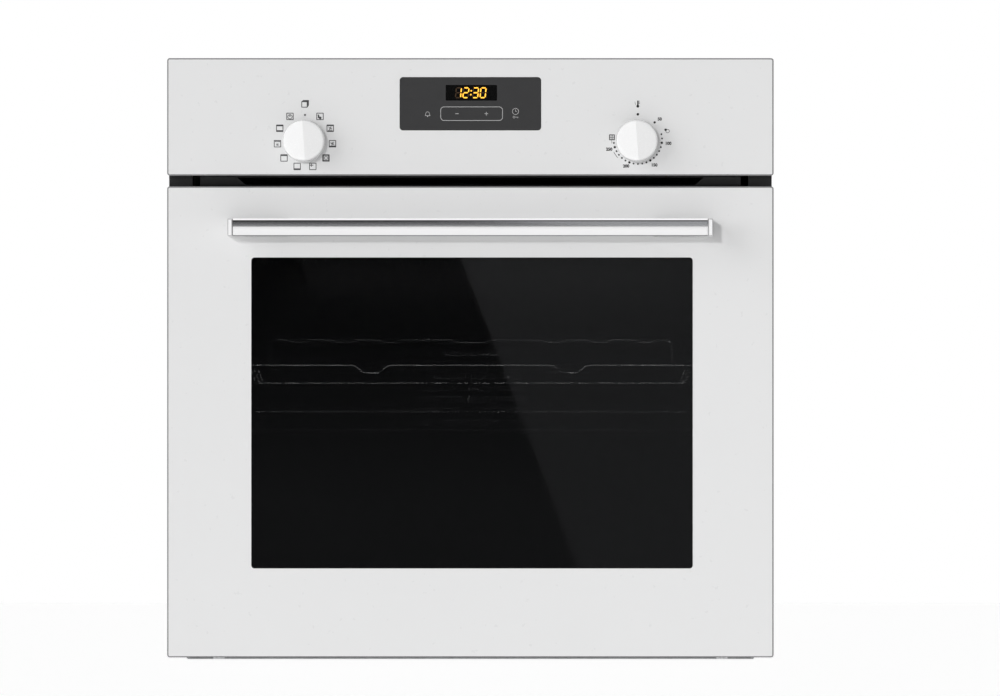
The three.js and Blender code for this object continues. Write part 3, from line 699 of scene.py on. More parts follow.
def screw_tool() -> NodeTool:
    """Make the tool that stands a cross-slotted screw head on every point.

    The head's height, crown and slots are parts of its radius; the slots' lift is a part of its height.

    Returns:
        The tool, which turns each head to face along "Turn".
    """
    tool = NodeTool("screw_heads", [("Radius", "Float"), ("Turn", "Vector"), ("Material", "Material")])
    entry = tool.entry.outputs

    def part_of_radius(share: float) -> bpy.types.NodeSocket:
        """The radius times a share."""
        return tool.add("ShaderNodeMath", {0: entry["Radius"], 1: share}, operation="MULTIPLY").outputs[0]

    height, crown_top = part_of_radius(SCREW_HEIGHT), part_of_radius(SCREW_CROWN)
    width, length = part_of_radius(SLOT_WIDTH), part_of_radius(SLOT_LENGTH)
    washer = tool.add("GeometryNodeMeshCylinder", {"Vertices": SCREW_SIDES, "Radius": entry["Radius"],
                                                   "Depth": height})
    crown = tool.add("GeometryNodeMeshCone", {"Vertices": SCREW_SIDES, "Radius Top": crown_top,
                                              "Radius Bottom": entry["Radius"], "Depth": height})
    lift = tool.add("ShaderNodeCombineXYZ", {2: height})
    half_lift = tool.add("ShaderNodeVectorMath", {0: lift.outputs[0], 3: 0.5}, operation="SCALE")
    slot_lift = tool.add("ShaderNodeVectorMath", {0: lift.outputs[0], 3: SLOT_LIFT}, operation="SCALE")
    slotted = tool.add("GeometryNodeTransform", {0: crown.outputs[0], "Translation": half_lift.outputs[0]})
    for long_axis in (0, 1):
        size = tool.add("ShaderNodeCombineXYZ", {long_axis: length, 1 - long_axis: width, 2: height})
        bar = tool.add("GeometryNodeMeshCube", {"Size": size.outputs[0]})
        raised = tool.add("GeometryNodeTransform", {0: bar.outputs[0], "Translation": slot_lift.outputs[0]})
        slotted = tool.add("GeometryNodeMeshBoolean", {"Mesh 1": slotted.outputs[0], "Mesh 2": raised.outputs[0]},
                           operation="DIFFERENCE")
    both = tool.add("GeometryNodeJoinGeometry")
    for part in (slotted, washer):
        tool.tree.links.new(part.outputs[0], both.inputs[0])
    turn = tool.add("FunctionNodeEulerToRotation", {0: entry["Turn"]})
    points = tool.add("GeometryNodeMeshToPoints", {0: entry["Geometry"]})
    heads = tool.add("GeometryNodeInstanceOnPoints", {"Points": points.outputs[0], "Instance": both.outputs[0],
                                                      "Rotation": turn.outputs[0]})
    tool.close(heads.outputs[0])
    return tool


def dot_tool() -> NodeTool:
    """A tool that prints dots round an arc, clockwise from the top as the user sees it.

    Returns:
        The tool.
    """
    tool = NodeTool("dots_round_arc", [("Count", "Int"), ("Radius", "Float"), ("Dot Radius", "Float"),
                                       ("Start", "Float"), ("Step", "Float"), ("Material", "Material")])
    entry = tool.entry.outputs
    points = tool.add("GeometryNodePoints", {"Count": entry["Count"]})
    index = tool.add("GeometryNodeInputIndex")
    swept = tool.add("ShaderNodeMath", {0: index.outputs[0], 1: entry["Step"], 2: entry["Start"]},
                     operation="MULTIPLY_ADD")
    place = tool.add("ShaderNodeCombineXYZ")
    for axis, operation in ((0, "SINE"), (2, "COSINE")):
        wave = tool.add("ShaderNodeMath", {0: swept.outputs[0]}, operation=operation)
        reach = tool.add("ShaderNodeMath", {0: wave.outputs[0], 1: entry["Radius"]}, operation="MULTIPLY")
        tool.tree.links.new(reach.outputs[0], place.inputs[axis])
    spots = tool.add("GeometryNodeSetPosition", {"Geometry": points.outputs[0], "Position": place.outputs[0]})
    dot = tool.add("GeometryNodeMeshCylinder", {"Vertices": 20, "Radius": entry["Dot Radius"],
                                                "Depth": PRINT_FILM})
    quarter = tool.add("GeometryNodeTransform", {0: dot.outputs[0], "Rotation": (math.pi / 2, 0, 0)})
    dots = tool.add("GeometryNodeInstanceOnPoints", {"Points": spots.outputs[0],
                                                     "Instance": quarter.outputs[0]})
    around = tool.add("GeometryNodeInstanceOnPoints", {"Points": entry["Geometry"],
                                                       "Instance": dots.outputs[0]})
    tool.close(around.outputs[0])
    return tool


def point_mesh(name: str, points: Sequence[Sequence[float]]) -> bpy.types.Mesh:
    """A mesh of loose points.

    Args:
        name: the mesh's name.
        points: their places.

    Returns:
        The mesh.
    """
    mesh = bpy.data.meshes.new(name)
    mesh.from_pydata(list(points), [], [])
    return mesh


@dataclass
class Tools:
    """The node tools that the sub-assemblies share."""

    wire: NodeTool
    screw: NodeTool
    dots: NodeTool

    @classmethod
    def make(cls) -> "Tools":
        """Build each tree once."""
        return cls(wire_tool(), screw_tool(), dot_tool())


# ---- print --------------------------------------------------------------------------------------


@dataclass
class Pen:
    """Prints thin marks on an upright face, round a centre that can be moved."""

    y: float
    x: float = 0.0
    z: float = 0.0
    film: float = PRINT_FILM

    def __post_init__(self) -> None:
        """Start with a clean sheet."""
        self.sheet = Body()

    def move(self, x: float, z: float) -> "Pen":
        """Put the centre at x, z and return the pen."""
        self.x, self.z = x, z
        return self

    def fill(self, outline: Sequence[Point]) -> None:
        """Print a filled outline given in millimetres round the centre."""
        placed = [(self.x + a * MM, self.z + b * MM) for a, b in outline]
        self.sheet.slab(placed, self.y - self.film, self.y)

    def line(self, x0: float, z0: float, x1: float, z1: float, width: float = 0.5) -> None:
        """Print a straight stroke.

        Args:
            x0: start, across, in millimetres from the centre.
            z0: start, up.
            x1: end, across.
            z1: end, up.
            width: the stroke's width in millimetres.
        """
        along = Vector((x1 - x0, z1 - z0)).normalized() * (width / 2)
        nx, nz = -along.y, along.x
        self.fill([(x0 + nx, z0 + nz), (x0 - nx, z0 - nz), (x1 - nx, z1 - nz), (x1 + nx, z1 + nz)])

    def disc(self, x: float, z: float, radius: float) -> None:
        """Print a filled disc."""
        self.fill(circle(x, z, radius, 24))

    def frame(self, outer: Sequence[Point], inner: Sequence[Point]) -> None:
        """Print the band between two outlines with as many points each.

        Args:
            outer: the outer outline, in millimetres round the centre.
            inner: the inner outline.
        """
        rings = [[(self.x + a * MM, self.z + b * MM) for a, b in ring] for ring in (outer, inner)]
        near, far = self.y - self.film, self.y
        self.sheet.loft([(rings[0], near), (rings[1], near), (rings[1], far), (rings[0], far)], closed=True)

    def ring(self, x: float, z: float, radius: float, width: float = 0.5) -> None:
        """Print a circle's line."""
        self.frame(circle(x, z, radius + width / 2, 28), circle(x, z, radius - width / 2, 28))

    def square(self, half: float, width: float = 0.55) -> None:
        """Print a square's line round the centre.

        Args:
            half: half its outer width, in millimetres.
            width: the line's width.
        """
        reach = half - width
        outer = rounded_rect(-half, half, -half, half, 0.5, 3)
        self.frame(outer, rounded_rect(-reach, reach, -reach, reach, 0.1, 3))

    def arc(self, radius: float, start: float, end: float, width: float = 0.4, steps: int = 14) -> None:
        """Print an arc about the centre, in degrees clockwise from the top.

        Args:
            radius: in millimetres.
            start: where it starts.
            end: where it ends.
            width: the line's width.
            steps: how many straight strokes it has.
        """
        for i in range(steps):
            turns = [math.radians(start + (end - start) * k / steps) for k in (i, i + 1)]
            (x0, z0), (x1, z1) = [(radius * math.sin(turn), radius * math.cos(turn)) for turn in turns]
            self.line(x0, z0, x1, z1, width)

    def fan(self, size: float) -> None:
        """Print a small four-bladed fan round the centre.

        Args:
            size: from the middle to the tip of a blade, in millimetres.
        """
        for k in range(4):
            turn = math.radians(45 + 90 * k)
            tip = (size * math.cos(turn), size * math.sin(turn))
            side = (size * 0.6 * math.cos(turn + 0.9), size * 0.6 * math.sin(turn + 0.9))
            self.fill([(0, 0), tip, side])
        self.disc(0, 0, size * 0.22)

    def text(self, words: str, height: float) -> None:
        """Print generic figures centred on the centre, their height in millimetres.

        Args:
            words: the figures.
            height: their height in millimetres.
        """
        curve = bpy.data.curves.new("figures", "FONT")
        curve.body = words
        curve.size = height * MM * 1.4
        curve.offset = 0.2 * MM
        curve.align_x, curve.align_y = "CENTER", "CENTER"
        holder = bpy.data.objects.new("figures", curve)
        mesh = bpy.data.meshes.new_from_object(holder)
        stand = Matrix.Rotation(math.pi / 2, 4, "X")
        mesh.transform(Matrix.Translation((self.x, self.y - self.film, self.z)) @ stand)
        self.sheet.bm.from_mesh(mesh)
        bpy.data.objects.remove(holder)
        bpy.data.meshes.remove(mesh)


# ---- sub-assemblies -----------------------------------------------------------------------------


def chamfered_plate(outline_at: Sequence[float], corner: float, front: float, back: float,
                    chamfer: float) -> Body:
    """A glass plate whose front edge is ground to a chamfer.

    Args:
        outline_at: left, right, lower and upper edge.
        corner: radius of the corners.
        front: y of the front face.
        back: y of the back face.
        chamfer: width of the ground edge.

    Returns:
        The plate, its ground edge in material slot 1.
    """
    x0, x1, z0, z1 = outline_at
    body = Body()
    full = rounded_rect(x0, x1, z0, z1, corner)
    inner_corner = max(corner - chamfer, 0.3 * MM)
    inset = rounded_rect(x0 + chamfer, x1 - chamfer, z0 + chamfer, z1 - chamfer, inner_corner)
    body.loft([(inset, front), (full, front + chamfer * 0.5), (full, back)], slots=[1, 1])
    return body


@dataclass
class ControlPanel:
    """The white fascia, its display and everything printed on it."""

    corner: float = 2.5 * MM
    chamfer: float = 1.3 * MM
    window: tuple[float, float, float, float] = (-24.2 * MM, 26.1 * MM, 548.4 * MM, 563.7 * MM)
    icon_ring: float = 27.2
    dial_ring: float = 23.7
    shift: Point = (1.0 * MM, 1.05 * MM)
    front: float = field(init=False)

    def build(self, tools: Tools) -> None:
        """Make the panel, the display and the print.

        Args:
            tools: the node tools.
        """
        low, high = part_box("control_panel")
        self.front = low.y
        plate = chamfered_plate((low.x, high.x, low.z, high.z), self.corner, low.y, high.y, self.chamfer)
        plate.finish("control_panel_glass", "housing", "white_glass", "white_glass", ["control_panel"],
                     ["ground_edge_and_painted_shade"], crease=12.0)
        aside = Vector((self.shift[0], 0, self.shift[1]))
        knobs = {side: (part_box(node)[0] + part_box(node)[1]) / 2 + aside
                 for side, node in ((Side.LEFT, "function_knob"), (Side.RIGHT, "temperature_knob"))}
        self.function_marks(knobs[Side.LEFT])
        self.dial_marks(knobs[Side.RIGHT], tools)
        self.display()

    def function_marks(self, knob: Vector) -> None:
        """Print the ten function symbols, the off dot and the oven symbol over it.

        Args:
            knob: the point that the marks stand round.
        """
        pen = Pen(self.front)
        draw = [self.lamp, self.fan_over_bars, self.fan_over_base, self.nested, self.quarter_grill,
                self.base_heat, self.top_heat, self.grill_fan, self.both_heats, self.ring_fan]
        for i, symbol in enumerate(draw):
            turn = FULL_TURN * (i + 1) / (len(draw) + 1)
            reach = self.icon_ring * MM
            pen.move(knob.x + reach * math.sin(turn), knob.z + reach * math.cos(turn))
            symbol(pen)
        pen.move(knob.x, knob.z)
        pen.disc(0, 24.3, 1.0)
        pen.move(knob.x - 0.5 * MM, knob.z + 34.6 * MM)
        pen.square(3.1, 0.8)
        pen.fill([(-2.9, 2.9), (-1.2, 4.3), (4.3, 4.3), (2.9, 2.9)])
        pen.fill([(2.9, 2.9), (4.3, 4.3), (4.3, -1.0), (2.9, -2.9)])
        pen.sheet.finish("function_symbols", "housing", "grey_print", "display_black")

    @staticmethod
    def lamp(pen: Pen) -> None:
        """A lamp in a square.

        Args:
            pen: the pen that prints it.
        """
        pen.square(3.55, 0.75)
        pen.fill([(-2.2, 1.8), (-1.0, 1.8), (-0.4, -1.0), (-2.0, -1.8)])
        pen.disc(0.2, -1.5, 1.3)

    @staticmethod
    def fan_over_bars(pen: Pen) -> None:
        """A fan with a bar above it and studs below.

        Args:
            pen: the pen that prints it.
        """
        pen.square(3.55, 0.75)
        pen.line(-3.2, 2.7, 3.2, 2.7, 1.1)
        pen.fan(2.4)
        pen.line(-2.4, -2.4, 2.4, -2.4, 0.7)

    @staticmethod
    def fan_over_base(pen: Pen) -> None:
        """A fan over a heated base.

        Args:
            pen: the pen that prints it.
        """
        pen.square(3.55, 0.75)
        pen.fan(2.5)
        pen.line(-3.2, -2.6, 3.2, -2.6, 1.3)

    @staticmethod
    def nested(pen: Pen) -> None:
        """A small square inside a heavy one."""
        pen.square(3.55, 1.4)
        pen.square(1.6, 0.6)

    @staticmethod
    def quarter_grill(pen: Pen) -> None:
        """A square with a short grill bar in one corner.

        Args:
            pen: the pen that prints it.
        """
        pen.square(3.55, 0.75)
        pen.line(-3.0, 1.2, 0.6, 1.2, 0.7)
        pen.line(-1.4, 3.0, -1.4, -0.4, 0.7)

    @staticmethod
    def base_heat(pen: Pen) -> None:
        """A square with a heavy lower bar."""
        pen.square(3.55, 0.75)
        pen.line(-3.2, -2.6, 3.2, -2.6, 1.3)

    @staticmethod
    def top_heat(pen: Pen) -> None:
        """A square with a heavy upper bar."""
        pen.square(3.55, 0.75)
        pen.line(-3.2, 2.6, 3.2, 2.6, 1.3)

    @staticmethod
    def grill_fan(pen: Pen) -> None:
        """A zigzag grill over a fan.

        Args:
            pen: the pen that prints it.
        """
        pen.square(3.55, 0.75)
        for i in range(4):
            pen.line(-2.6 + i * 1.3, 2.7, -1.95 + i * 1.3, 1.7, 0.5)
            pen.line(-1.95 + i * 1.3, 1.7, -1.3 + i * 1.3, 2.7, 0.5)
        pen.move(pen.x, pen.z - 0.9 * MM).fan(1.8)

    @staticmethod
    def both_heats(pen: Pen) -> None:
        """A square with heavy upper and lower bars."""
        ControlPanel.base_heat(pen)
        pen.line(-3.2, 2.6, 3.2, 2.6, 1.3)

    @staticmethod
    def ring_fan(pen: Pen) -> None:
        """A fan inside a ring.

        Args:
            pen: the pen that prints it.
        """
        pen.square(3.55, 0.8)
        pen.ring(0, -0.3, 2.1, 0.6)
        pen.move(pen.x, pen.z + 0.6 * MM).fan(1.5)

    def dial_marks(self, knob: Vector, tools: Tools) -> None:
        """Print the temperature dots, their figures and the symbols round the dial.

        Args:
            knob: the point that the marks stand round.
            tools: the node tools.
        """
        per_ten = math.radians(10.32)
        at_hundred = math.radians(97.3)
        centre = [(knob.x, self.front - 0.025 * MM, knob.z)]
        rings = (("scale_dots", 19, 0.9, at_hundred - 2 * per_ten, per_ten),
                 ("scale_main_dots", 4, 1.15, at_hundred, 5 * per_ten))
        for name, count, radius, start, step in rings:
            values = {"Count": count, "Radius": self.dial_ring * MM, "Dot Radius": radius * MM,
                      "Start": start, "Step": step}
            tools.dots.run(name, point_mesh(name, centre), values, "housing", "black_print", "display_black")
        pen = Pen(self.front)
        pen.move(knob.x, knob.z)
        pen.disc(0, self.dial_ring + 1.2, 1.25)
        first = math.radians(44)
        pen.disc(self.dial_ring * math.sin(first), self.dial_ring * math.cos(first), 1.15)
        figures = ((50, 46.7, 29.4), (100, 97, 30.0), (150, 147, 29.6), (200, 204, 28.3), (250, 251.5, 29.6))
        for figure, turn, reach in figures:
            angle = math.radians(turn)
            pen.move(knob.x + reach * MM * math.sin(angle), knob.z + reach * MM * math.cos(angle))
            pen.text(str(figure), 2.9)
        pen.move(knob.x, knob.z + 35.0 * MM)
        pen.line(0, -1.8, 0, 3.4, 1.3)
        pen.disc(0, -2.2, 1.4)
        for i in range(3):
            pen.line(0.4, 0.4 + i * 1.2, 1.9, 0.4 + i * 1.2, 0.45)
        pen.line(-2.9, 2.4, -2.3, -0.6, 0.35)
        pen.move(knob.x + 28.3 * MM, knob.z + 9.0 * MM)
        pen.disc(-1.1, 0.8, 1.2)
        pen.ring(0.9, -0.5, 1.7, 0.45)
        pen.move(knob.x - 25.4 * MM, knob.z + 2.4 * MM)
        pen.square(2.8, 0.8)
        for x in (-0.8, 0.8):
            pen.line(x, -2.2, x, 2.2, 0.55)
        pen.line(-2.4, 0, 2.4, 0, 0.45)
        pen.line(-0.2, -2.8, -0.2, -6.0, 0.3)
        pen.move(knob.x, knob.z)
        pen.arc(26.4, 228, 243, 0.5)
        pen.sheet.finish("dial_print", "housing", "black_print", "display_black")

    def display(self) -> None:
        """Make the dark lens, its clock window, the digits and the touch symbols."""
        low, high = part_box("display_plate")
        lens = chamfered_plate((low.x, high.x, low.z, high.z), 3.4 * MM, low.y, high.y, 0.5 * MM)
        lens.finish("display_lens_plate", "housing", "display_lens", "display_black", ["display_plate"],
                    ["black_plastic"], crease=12.0)
        x0, x1, z0, z1 = self.window
        shade = Body()
        shade.slab(rounded_rect(x0, x1, z0, z1, 0.8 * MM, 4), low.y - 0.06 * MM, low.y)
        shade.finish("clock_window", "housing", "display_black", "display_black")
        Clock(low.y - 0.07 * MM).build()
        pen = Pen(low.y)
        pen.move(1.2 * MM, 535.6 * MM)
        outer = rounded_rect(-30.5, 30.5, -6.9, 6.9, 3.4, 8)
        inner = rounded_rect(-30.0, 30.0, -6.4, 6.4, 2.9, 8)
        pen.frame(outer, inner)
        pen.line(-15.9, 0, -12.7, 0, 0.5)
        pen.line(12.7, 0, 16.1, 0, 0.5)
        pen.line(14.4, -1.7, 14.4, 1.7, 0.5)
        self.bell(pen.move(-41.9 * MM, 535.6 * MM))
        self.clock_face(pen.move(44.2 * MM, 537.8 * MM))
        pen.sheet.finish("touch_symbols", "housing", "light_print", "display_black")

    @staticmethod
    def bell(pen: Pen) -> None:
        """A small bell: the alarm key.

        Args:
            pen: the pen that prints it.
        """
        pen.arc(1.8, -90, 90, 0.4, 10)
        pen.line(-1.8, 0, -2.3, -1.9, 0.4)
        pen.line(1.8, 0, 2.3, -1.9, 0.4)
        pen.line(-2.6, -1.9, 2.6, -1.9, 0.4)
        pen.disc(0, -2.7, 0.45)

    @staticmethod
    def clock_face(pen: Pen) -> None:
        """A clock face with a key below: the time and child-lock key.

        Args:
            pen: the pen that prints it.
        """
        pen.ring(0, 0, 3.0, 0.4)
        pen.line(0, 0, 0, 1.9, 0.4)
        pen.line(0, 0, 1.5, 0, 0.4)
        pen.ring(-1.6, -5.6, 0.9, 0.35)
        pen.line(-0.7, -5.6, 2.6, -5.6, 0.4)
        pen.line(2.2, -5.6, 2.2, -6.6, 0.4)


@dataclass
class Clock:
    """The seven-segment figures of the clock."""

    y: float
    digits: str = "1230"
    height: float = 9.6
    width: float = 5.0
    stroke: float = 1.15
    lean: float = 0.1
    starts: tuple[float, ...] = (-14.2, -6.9, 2.6, 9.9)
    centre_z: float = 556.1

    SEGMENTS = {"0": "abcdef", "1": "bc", "2": "abged", "3": "abgcd"}

    def build(self) -> None:
        """Make the lit figures, and behind them the unlit segments."""
        lit, unlit = Pen(self.y - 0.05 * MM), Pen(self.y)
        for pen, show_all in ((lit, False), (unlit, True)):
            for figure, start in zip(self.digits, self.starts):
                pen.move(start * MM, self.centre_z * MM)
                for name in "abcdefg":
                    if show_all or name in self.SEGMENTS[figure]:
                        self.segment(pen, name)
        lit.move(0.6 * MM, self.centre_z * MM)
        for z in (-1.9, 1.9):
            lit.disc(self.lean * z, z, 0.75)
        # The unlit segments carry a faint painted glow.
        unlit.sheet.finish("clock_unlit", "housing", "unlit_segment_painted_glow", "display_black")
        lit.sheet.finish("clock_figures", "housing", "amber_segment", "display_black")

    def segment(self, pen: Pen, name: str) -> None:
        """Print one segment as a stroke with pointed ends.

        Args:
            pen: the pen that prints it.
            name: the segment's letter, a to g.
        """
        half = self.height / 2
        ends = {"a": (0, half, 1, half), "g": (0, 0, 1, 0), "d": (0, -half, 1, -half), "f": (0, 0, 0, half),
                "b": (1, 0, 1, half), "e": (0, -half, 0, 0), "c": (1, -half, 1, 0)}
        x0, z0, x1, z1 = ends[name]
        start = Vector((x0 * self.width, z0))
        end = Vector((x1 * self.width, z1))
        along = (end - start).normalized()
        across = Vector((-along.y, along.x)) * self.stroke / 2
        start, end = start + along * 0.35, end - along * 0.35
        tip = along * self.stroke / 2
        shape = [start, start + tip - across, end - tip - across, end, end - tip + across, start + tip + across]
        pen.fill([(p.x + self.lean * p.y, p.y) for p in shape])


@dataclass
class Knob:
    """A round knob whose face is two slopes meeting in a ridge, with soft edges."""

    word: str
    fall: float = 4.2 * MM
    round_edge: float = 1.6 * MM
    lean: float = math.radians(4)
    draft: float = 0.8 * MM
    ridge_power: int = 6
    around: int = 96
    edge_steps: int = 8
    face_rings: int = 6
    crease: float = 14.0

    def build(self) -> None:
        """Make the knob in place of its plain node."""
        node = self.word + "_knob"
        low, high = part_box(node)
        centre = (low + high) / 2
        radius = (high.x - low.x) / 2
        face, base = low.y, high.y
        body = Body()
        rings = []
        for reach, y in self.profile(radius, base, face):
            on_face = max(0.0, (base - y) / (base - face - self.fall))
            ring = []
            for i in range(self.around):
                turn = FULL_TURN * i / self.around
                angle = turn + self.lean + math.pi / 2
                across = abs(reach * math.sin(turn)) / radius
                rise = self.fall * (1 - across) * on_face ** self.ridge_power
                ring.append(body.bm.verts.new((centre.x + reach * math.cos(angle), y - rise,
                                               centre.z + reach * math.sin(angle))))
            rings.append(ring)
        tip = body.bm.verts.new((centre.x, face, centre.z))
        body.bm.faces.new(rings[0])
        for i in range(self.around):
            j = (i + 1) % self.around
            for lower, upper in zip(rings, rings[1:]):
                body.bm.faces.new((lower[i], lower[j], upper[j], upper[i]))
            body.bm.faces.new((rings[-1][i], rings[-1][j], tip))
        body.finish(node + "_moulding", self.word + "_selector", "white_plastic", "white_plastic", [node],
                    crease=self.crease)

    def profile(self, radius: float, base: float, face: float) -> list[Point]:
        """The knob's outline, without its ridge.

        Args:
            radius: of the knob at its widest.
            base: y of its back.
            face: y of the top of its ridge.

        Returns:
            (distance from the axis, y) from the back's edge to near the middle of the face.
        """
        foot = [(radius - 1.0 * MM, base), (radius - 0.4 * MM, base - 0.6 * MM), (radius, base - 2.0 * MM)]
        top = radius - self.draft
        edge = []
        for i in range(self.edge_steps + 1):
            turn = math.pi / 2 * i / self.edge_steps
            edge.append((top - self.round_edge * (1 - math.cos(turn)),
                         face + self.fall + self.round_edge * (1 - math.sin(turn))))
        rim = top - self.round_edge
        inward = [(rim * (1 - i / self.face_rings), face + self.fall) for i in range(1, self.face_rings)]
        return foot + edge + inward


@dataclass
class Door:
    """The drop-down door: printed outer glass with its window, inner panes, frame and handle."""

    corner: float = 2.5 * MM
    chamfer: float = 1.3 * MM
    window_half: float = 216.2 * MM
    window_shift: float = 1.6 * MM
    window_low: float = 90.2 * MM
    window_high: float = 394.8 * MM
    window_corner: float = 3.2 * MM
    pane_gap: float = 0.02 * MM
    border_inset: float = 3.4 * MM
    border_width: float = 0.5 * MM
    border_depth: float = 0.3 * MM

    def build(self, tools: Tools) -> None:
        """Make the glass, the handle and the screws."""
        self.glass()
        self.handle(tools)

    def glass(self) -> None:
        """Make the white print round the window, and the dark pane in it."""
        low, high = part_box("door_outer_glass")
        c = self.chamfer
        full = rounded_rect(low.x, high.x, low.z, high.z, self.corner)
        inset = rounded_rect(low.x + c, high.x - c, low.z + c, high.z - c, self.corner - c)
        hole = self.window()
        ring = Body()
        ring.loft([(inset, low.y), (full, low.y + c * 0.5), (full, high.y), (hole, high.y), (hole, low.y)],
                  closed=True, slots=[1, 1, 0, 0, 0])
        ring.finish("door_white_print", "door", "white_glass", "white_glass", ["door_outer_glass"],
                    ["ground_edge_and_painted_shade"], crease=12.0)
        pane = Body()
        pane.slab(self.window(self.pane_gap), low.y + 0.01 * MM, high.y)
        pane.finish("door_window", "door", "window_glass", "clear_glass")
        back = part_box("door_inner_glass")[0].y
        near = back - self.border_depth
        outer, inner = self.window(self.border_inset), self.window(self.border_inset + self.border_width)
        border = Body()
        border.loft([(outer, near), (inner, near), (inner, back), (outer, back)], closed=True)
        border.finish("inner_pane_border", "door", "grey_paint", "grey_paint")

    def window(self, inset: float = 0.0) -> list[Point]:
        """The window's outline, drawn in by an inset.

        Args:
            inset: how far it is drawn in on every side.

        Returns:
            The outline, anticlockwise.
        """
        half = self.window_half - inset
        return rounded_rect(self.window_shift - half, self.window_shift + half, self.window_low + inset,
                            self.window_high - inset, self.window_corner)

    def handle(self, tools: Tools) -> None:
        """Make the bar with its leaning front face, the two feet and their screws.

        Args:
            tools: the node tools.
        """
        low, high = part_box("handle_bar")
        mid = (low.z + high.z) / 2
        half = (high.z - low.z) / 2
        section: list[Point] = []
        steps = 18
        for i in range(steps + 1):
            t = i / steps
            edge = 1.0 * MM * max(0.0, 1 - 12 * t, 12 * t - 11)
            section.append((low.y + self.lean(t) + edge, high.z - 2 * half * t))
        section.extend([(high.y - 2 * MM, low.z), (high.y, low.z + 2.5 * MM), (high.y, high.z - 2.5 * MM),
                        (high.y - 2 * MM, high.z)])
        bar = Body()
        bar.slab(section, low.x, high.x, Facing.SIDE)
        # Faces along the bar's lower edge take slot 1, a dark grey that paints the thin shade line under the bar.
        for face in bar.bm.faces:
            if face.calc_center_median().z < low.z + 0.9 * MM:
                face.material_index = 1
        bar.finish("handle_bar_section", "door", "bright_steel", "bright_steel", ["handle_bar"], ["ground_edge_and_painted_shade"],
                   bevel=0.25 * MM, crease=24.0)
        for side in Side:
            node = side.word + "_handle_foot"
            self.foot(node, side, mid, half, low.y)
        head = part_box("door_outer_glass")[1].y
        points = [(s.value * 212 * MM, head + 1.4 * MM, mid) for s in Side]
        tools.screw.run("handle_screws", point_mesh("handle_screws", points),
                        {"Radius": 4.4 * MM, "Turn": (-math.pi / 2, 0, 0)}, "door", "machined_steel", "machined_steel")

    @staticmethod
    def lean(t: float) -> float:
        """How far back the bar's front face lies, from its top edge (t = 0) to its lower edge (t = 1)."""
        return (0.1 + 1.4 * t ** 2) * MM

    def foot(self, node: str, side: Side, mid: float, half: float, front: float) -> None:
        """Make one foot: an end cap over the bar's end, and a leg to the glass.

        Args:
            node: the frame node that it stands for.
            side: the end of the bar that it is on.
            mid: height of the bar's middle.
            half: half the bar's height.
            front: y of the bar's front.
        """
        low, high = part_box(node)
        wide = high.x - low.x
        cap = 4.8 * MM
        outer = high.x if side is Side.RIGHT else -low.x
        back = high.y
        plan = [(outer, front), (outer, back), (outer - wide, back), (outer - wide + 8 * MM, back - 6.7 * MM),
                (outer - 19.1 * MM, back - 8.7 * MM), (outer - 13.1 * MM, front + 22 * MM),
                (outer - 13.1 * MM, front + 14.3 * MM), (outer - cap, front + 14.3 * MM), (outer - cap, front)]
        body = Body()
        body.slab([(side.value * x, y) for x, y in plan], mid - half, mid + half, Facing.ABOVE)
        casting = body.finish(node + "_casting", "door", "satin_steel", "bright_steel", [node], ["painted_edge_shade"],
                              bevel=0.9 * MM)
        # The bevel faces take slot 1, a darker grey that paints a shaded outline round each cap.
        casting.modifiers["edge"].material = 1


Polyline = Sequence[Sequence[float]]


class Wirework:
    """Pieces of bent wire or tube."""

    @staticmethod
    def wires(tools: Tools, name: str, groups: Sequence[tuple[float, float, Sequence[Polyline]]],
              body: str, finish: str, node: str) -> None:
        """Make the wires of one frame node, a piece for each thickness.

        Args:
            tools: the node tools.
            name: the first piece's name; the others add a number.
            groups: (radius, bend radius, polylines) of each thickness.
            body: the body that they ride on.
            finish: their finish.
            node: the frame node that they stand for.
        """
        for k, (radius, bend, lines) in enumerate(groups):
            label = f"{name}_{k}" if k else name
            tools.wire.run(label, line_mesh(label, lines), {"Radius": radius, "Bend": bend}, body, finish,
                           finish, [node])


@dataclass
class ShelfLadders(Wirework):
    """The chromed ladders on the cavity's side walls: rails to slide on, guards over them, and posts."""

    levels: int = 5
    first_level: float = 101 * MM
    level_pitch: float = 60 * MM
    guard_rise: float = 18 * MM
    rail_reach: float = 3 * MM
    guard_reach: float = 7 * MM
    post_reach: float = 8 * MM
    front_post: float = 17 * MM
    rear_post: float = 14 * MM
    rail_radius: float = 3 * MM
    guard_radius: float = 2 * MM
    post_radius: float = 2.5 * MM
    bend: float = 4 * MM

    def build(self, tools: Tools) -> None:
        """Make the ladder of each side.

        Args:
            tools: the node tools.
        """
        levels = [self.first_level + self.level_pitch * level for level in range(self.levels)]
        for side in Side:
            node = side.word + "_shelf_ladder"
            low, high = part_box(node)
            inner = low.x if side is Side.RIGHT else -high.x
            rail, guard, post = (side.value * (inner + reach)
                                 for reach in (self.rail_reach, self.guard_reach, self.post_reach))
            rails = [[(rail, low.y, z), (rail, high.y, z)] for z in levels]
            guards = [[(guard, low.y, z), (guard, low.y, z + self.guard_rise), (guard, high.y, z + self.guard_rise)]
                      for z in levels]
            posts = [[(post, y, low.z), (post, y, high.z)]
                     for y in (low.y + self.front_post, (low.y + high.y) / 2, high.y - self.rear_post)]
            groups = [(self.rail_radius, 0, rails), (self.guard_radius, self.bend, guards),
                      (self.post_radius, 0, posts)]
            self.wires(tools, node + "_wire", groups, "housing", "chrome_wire", node)


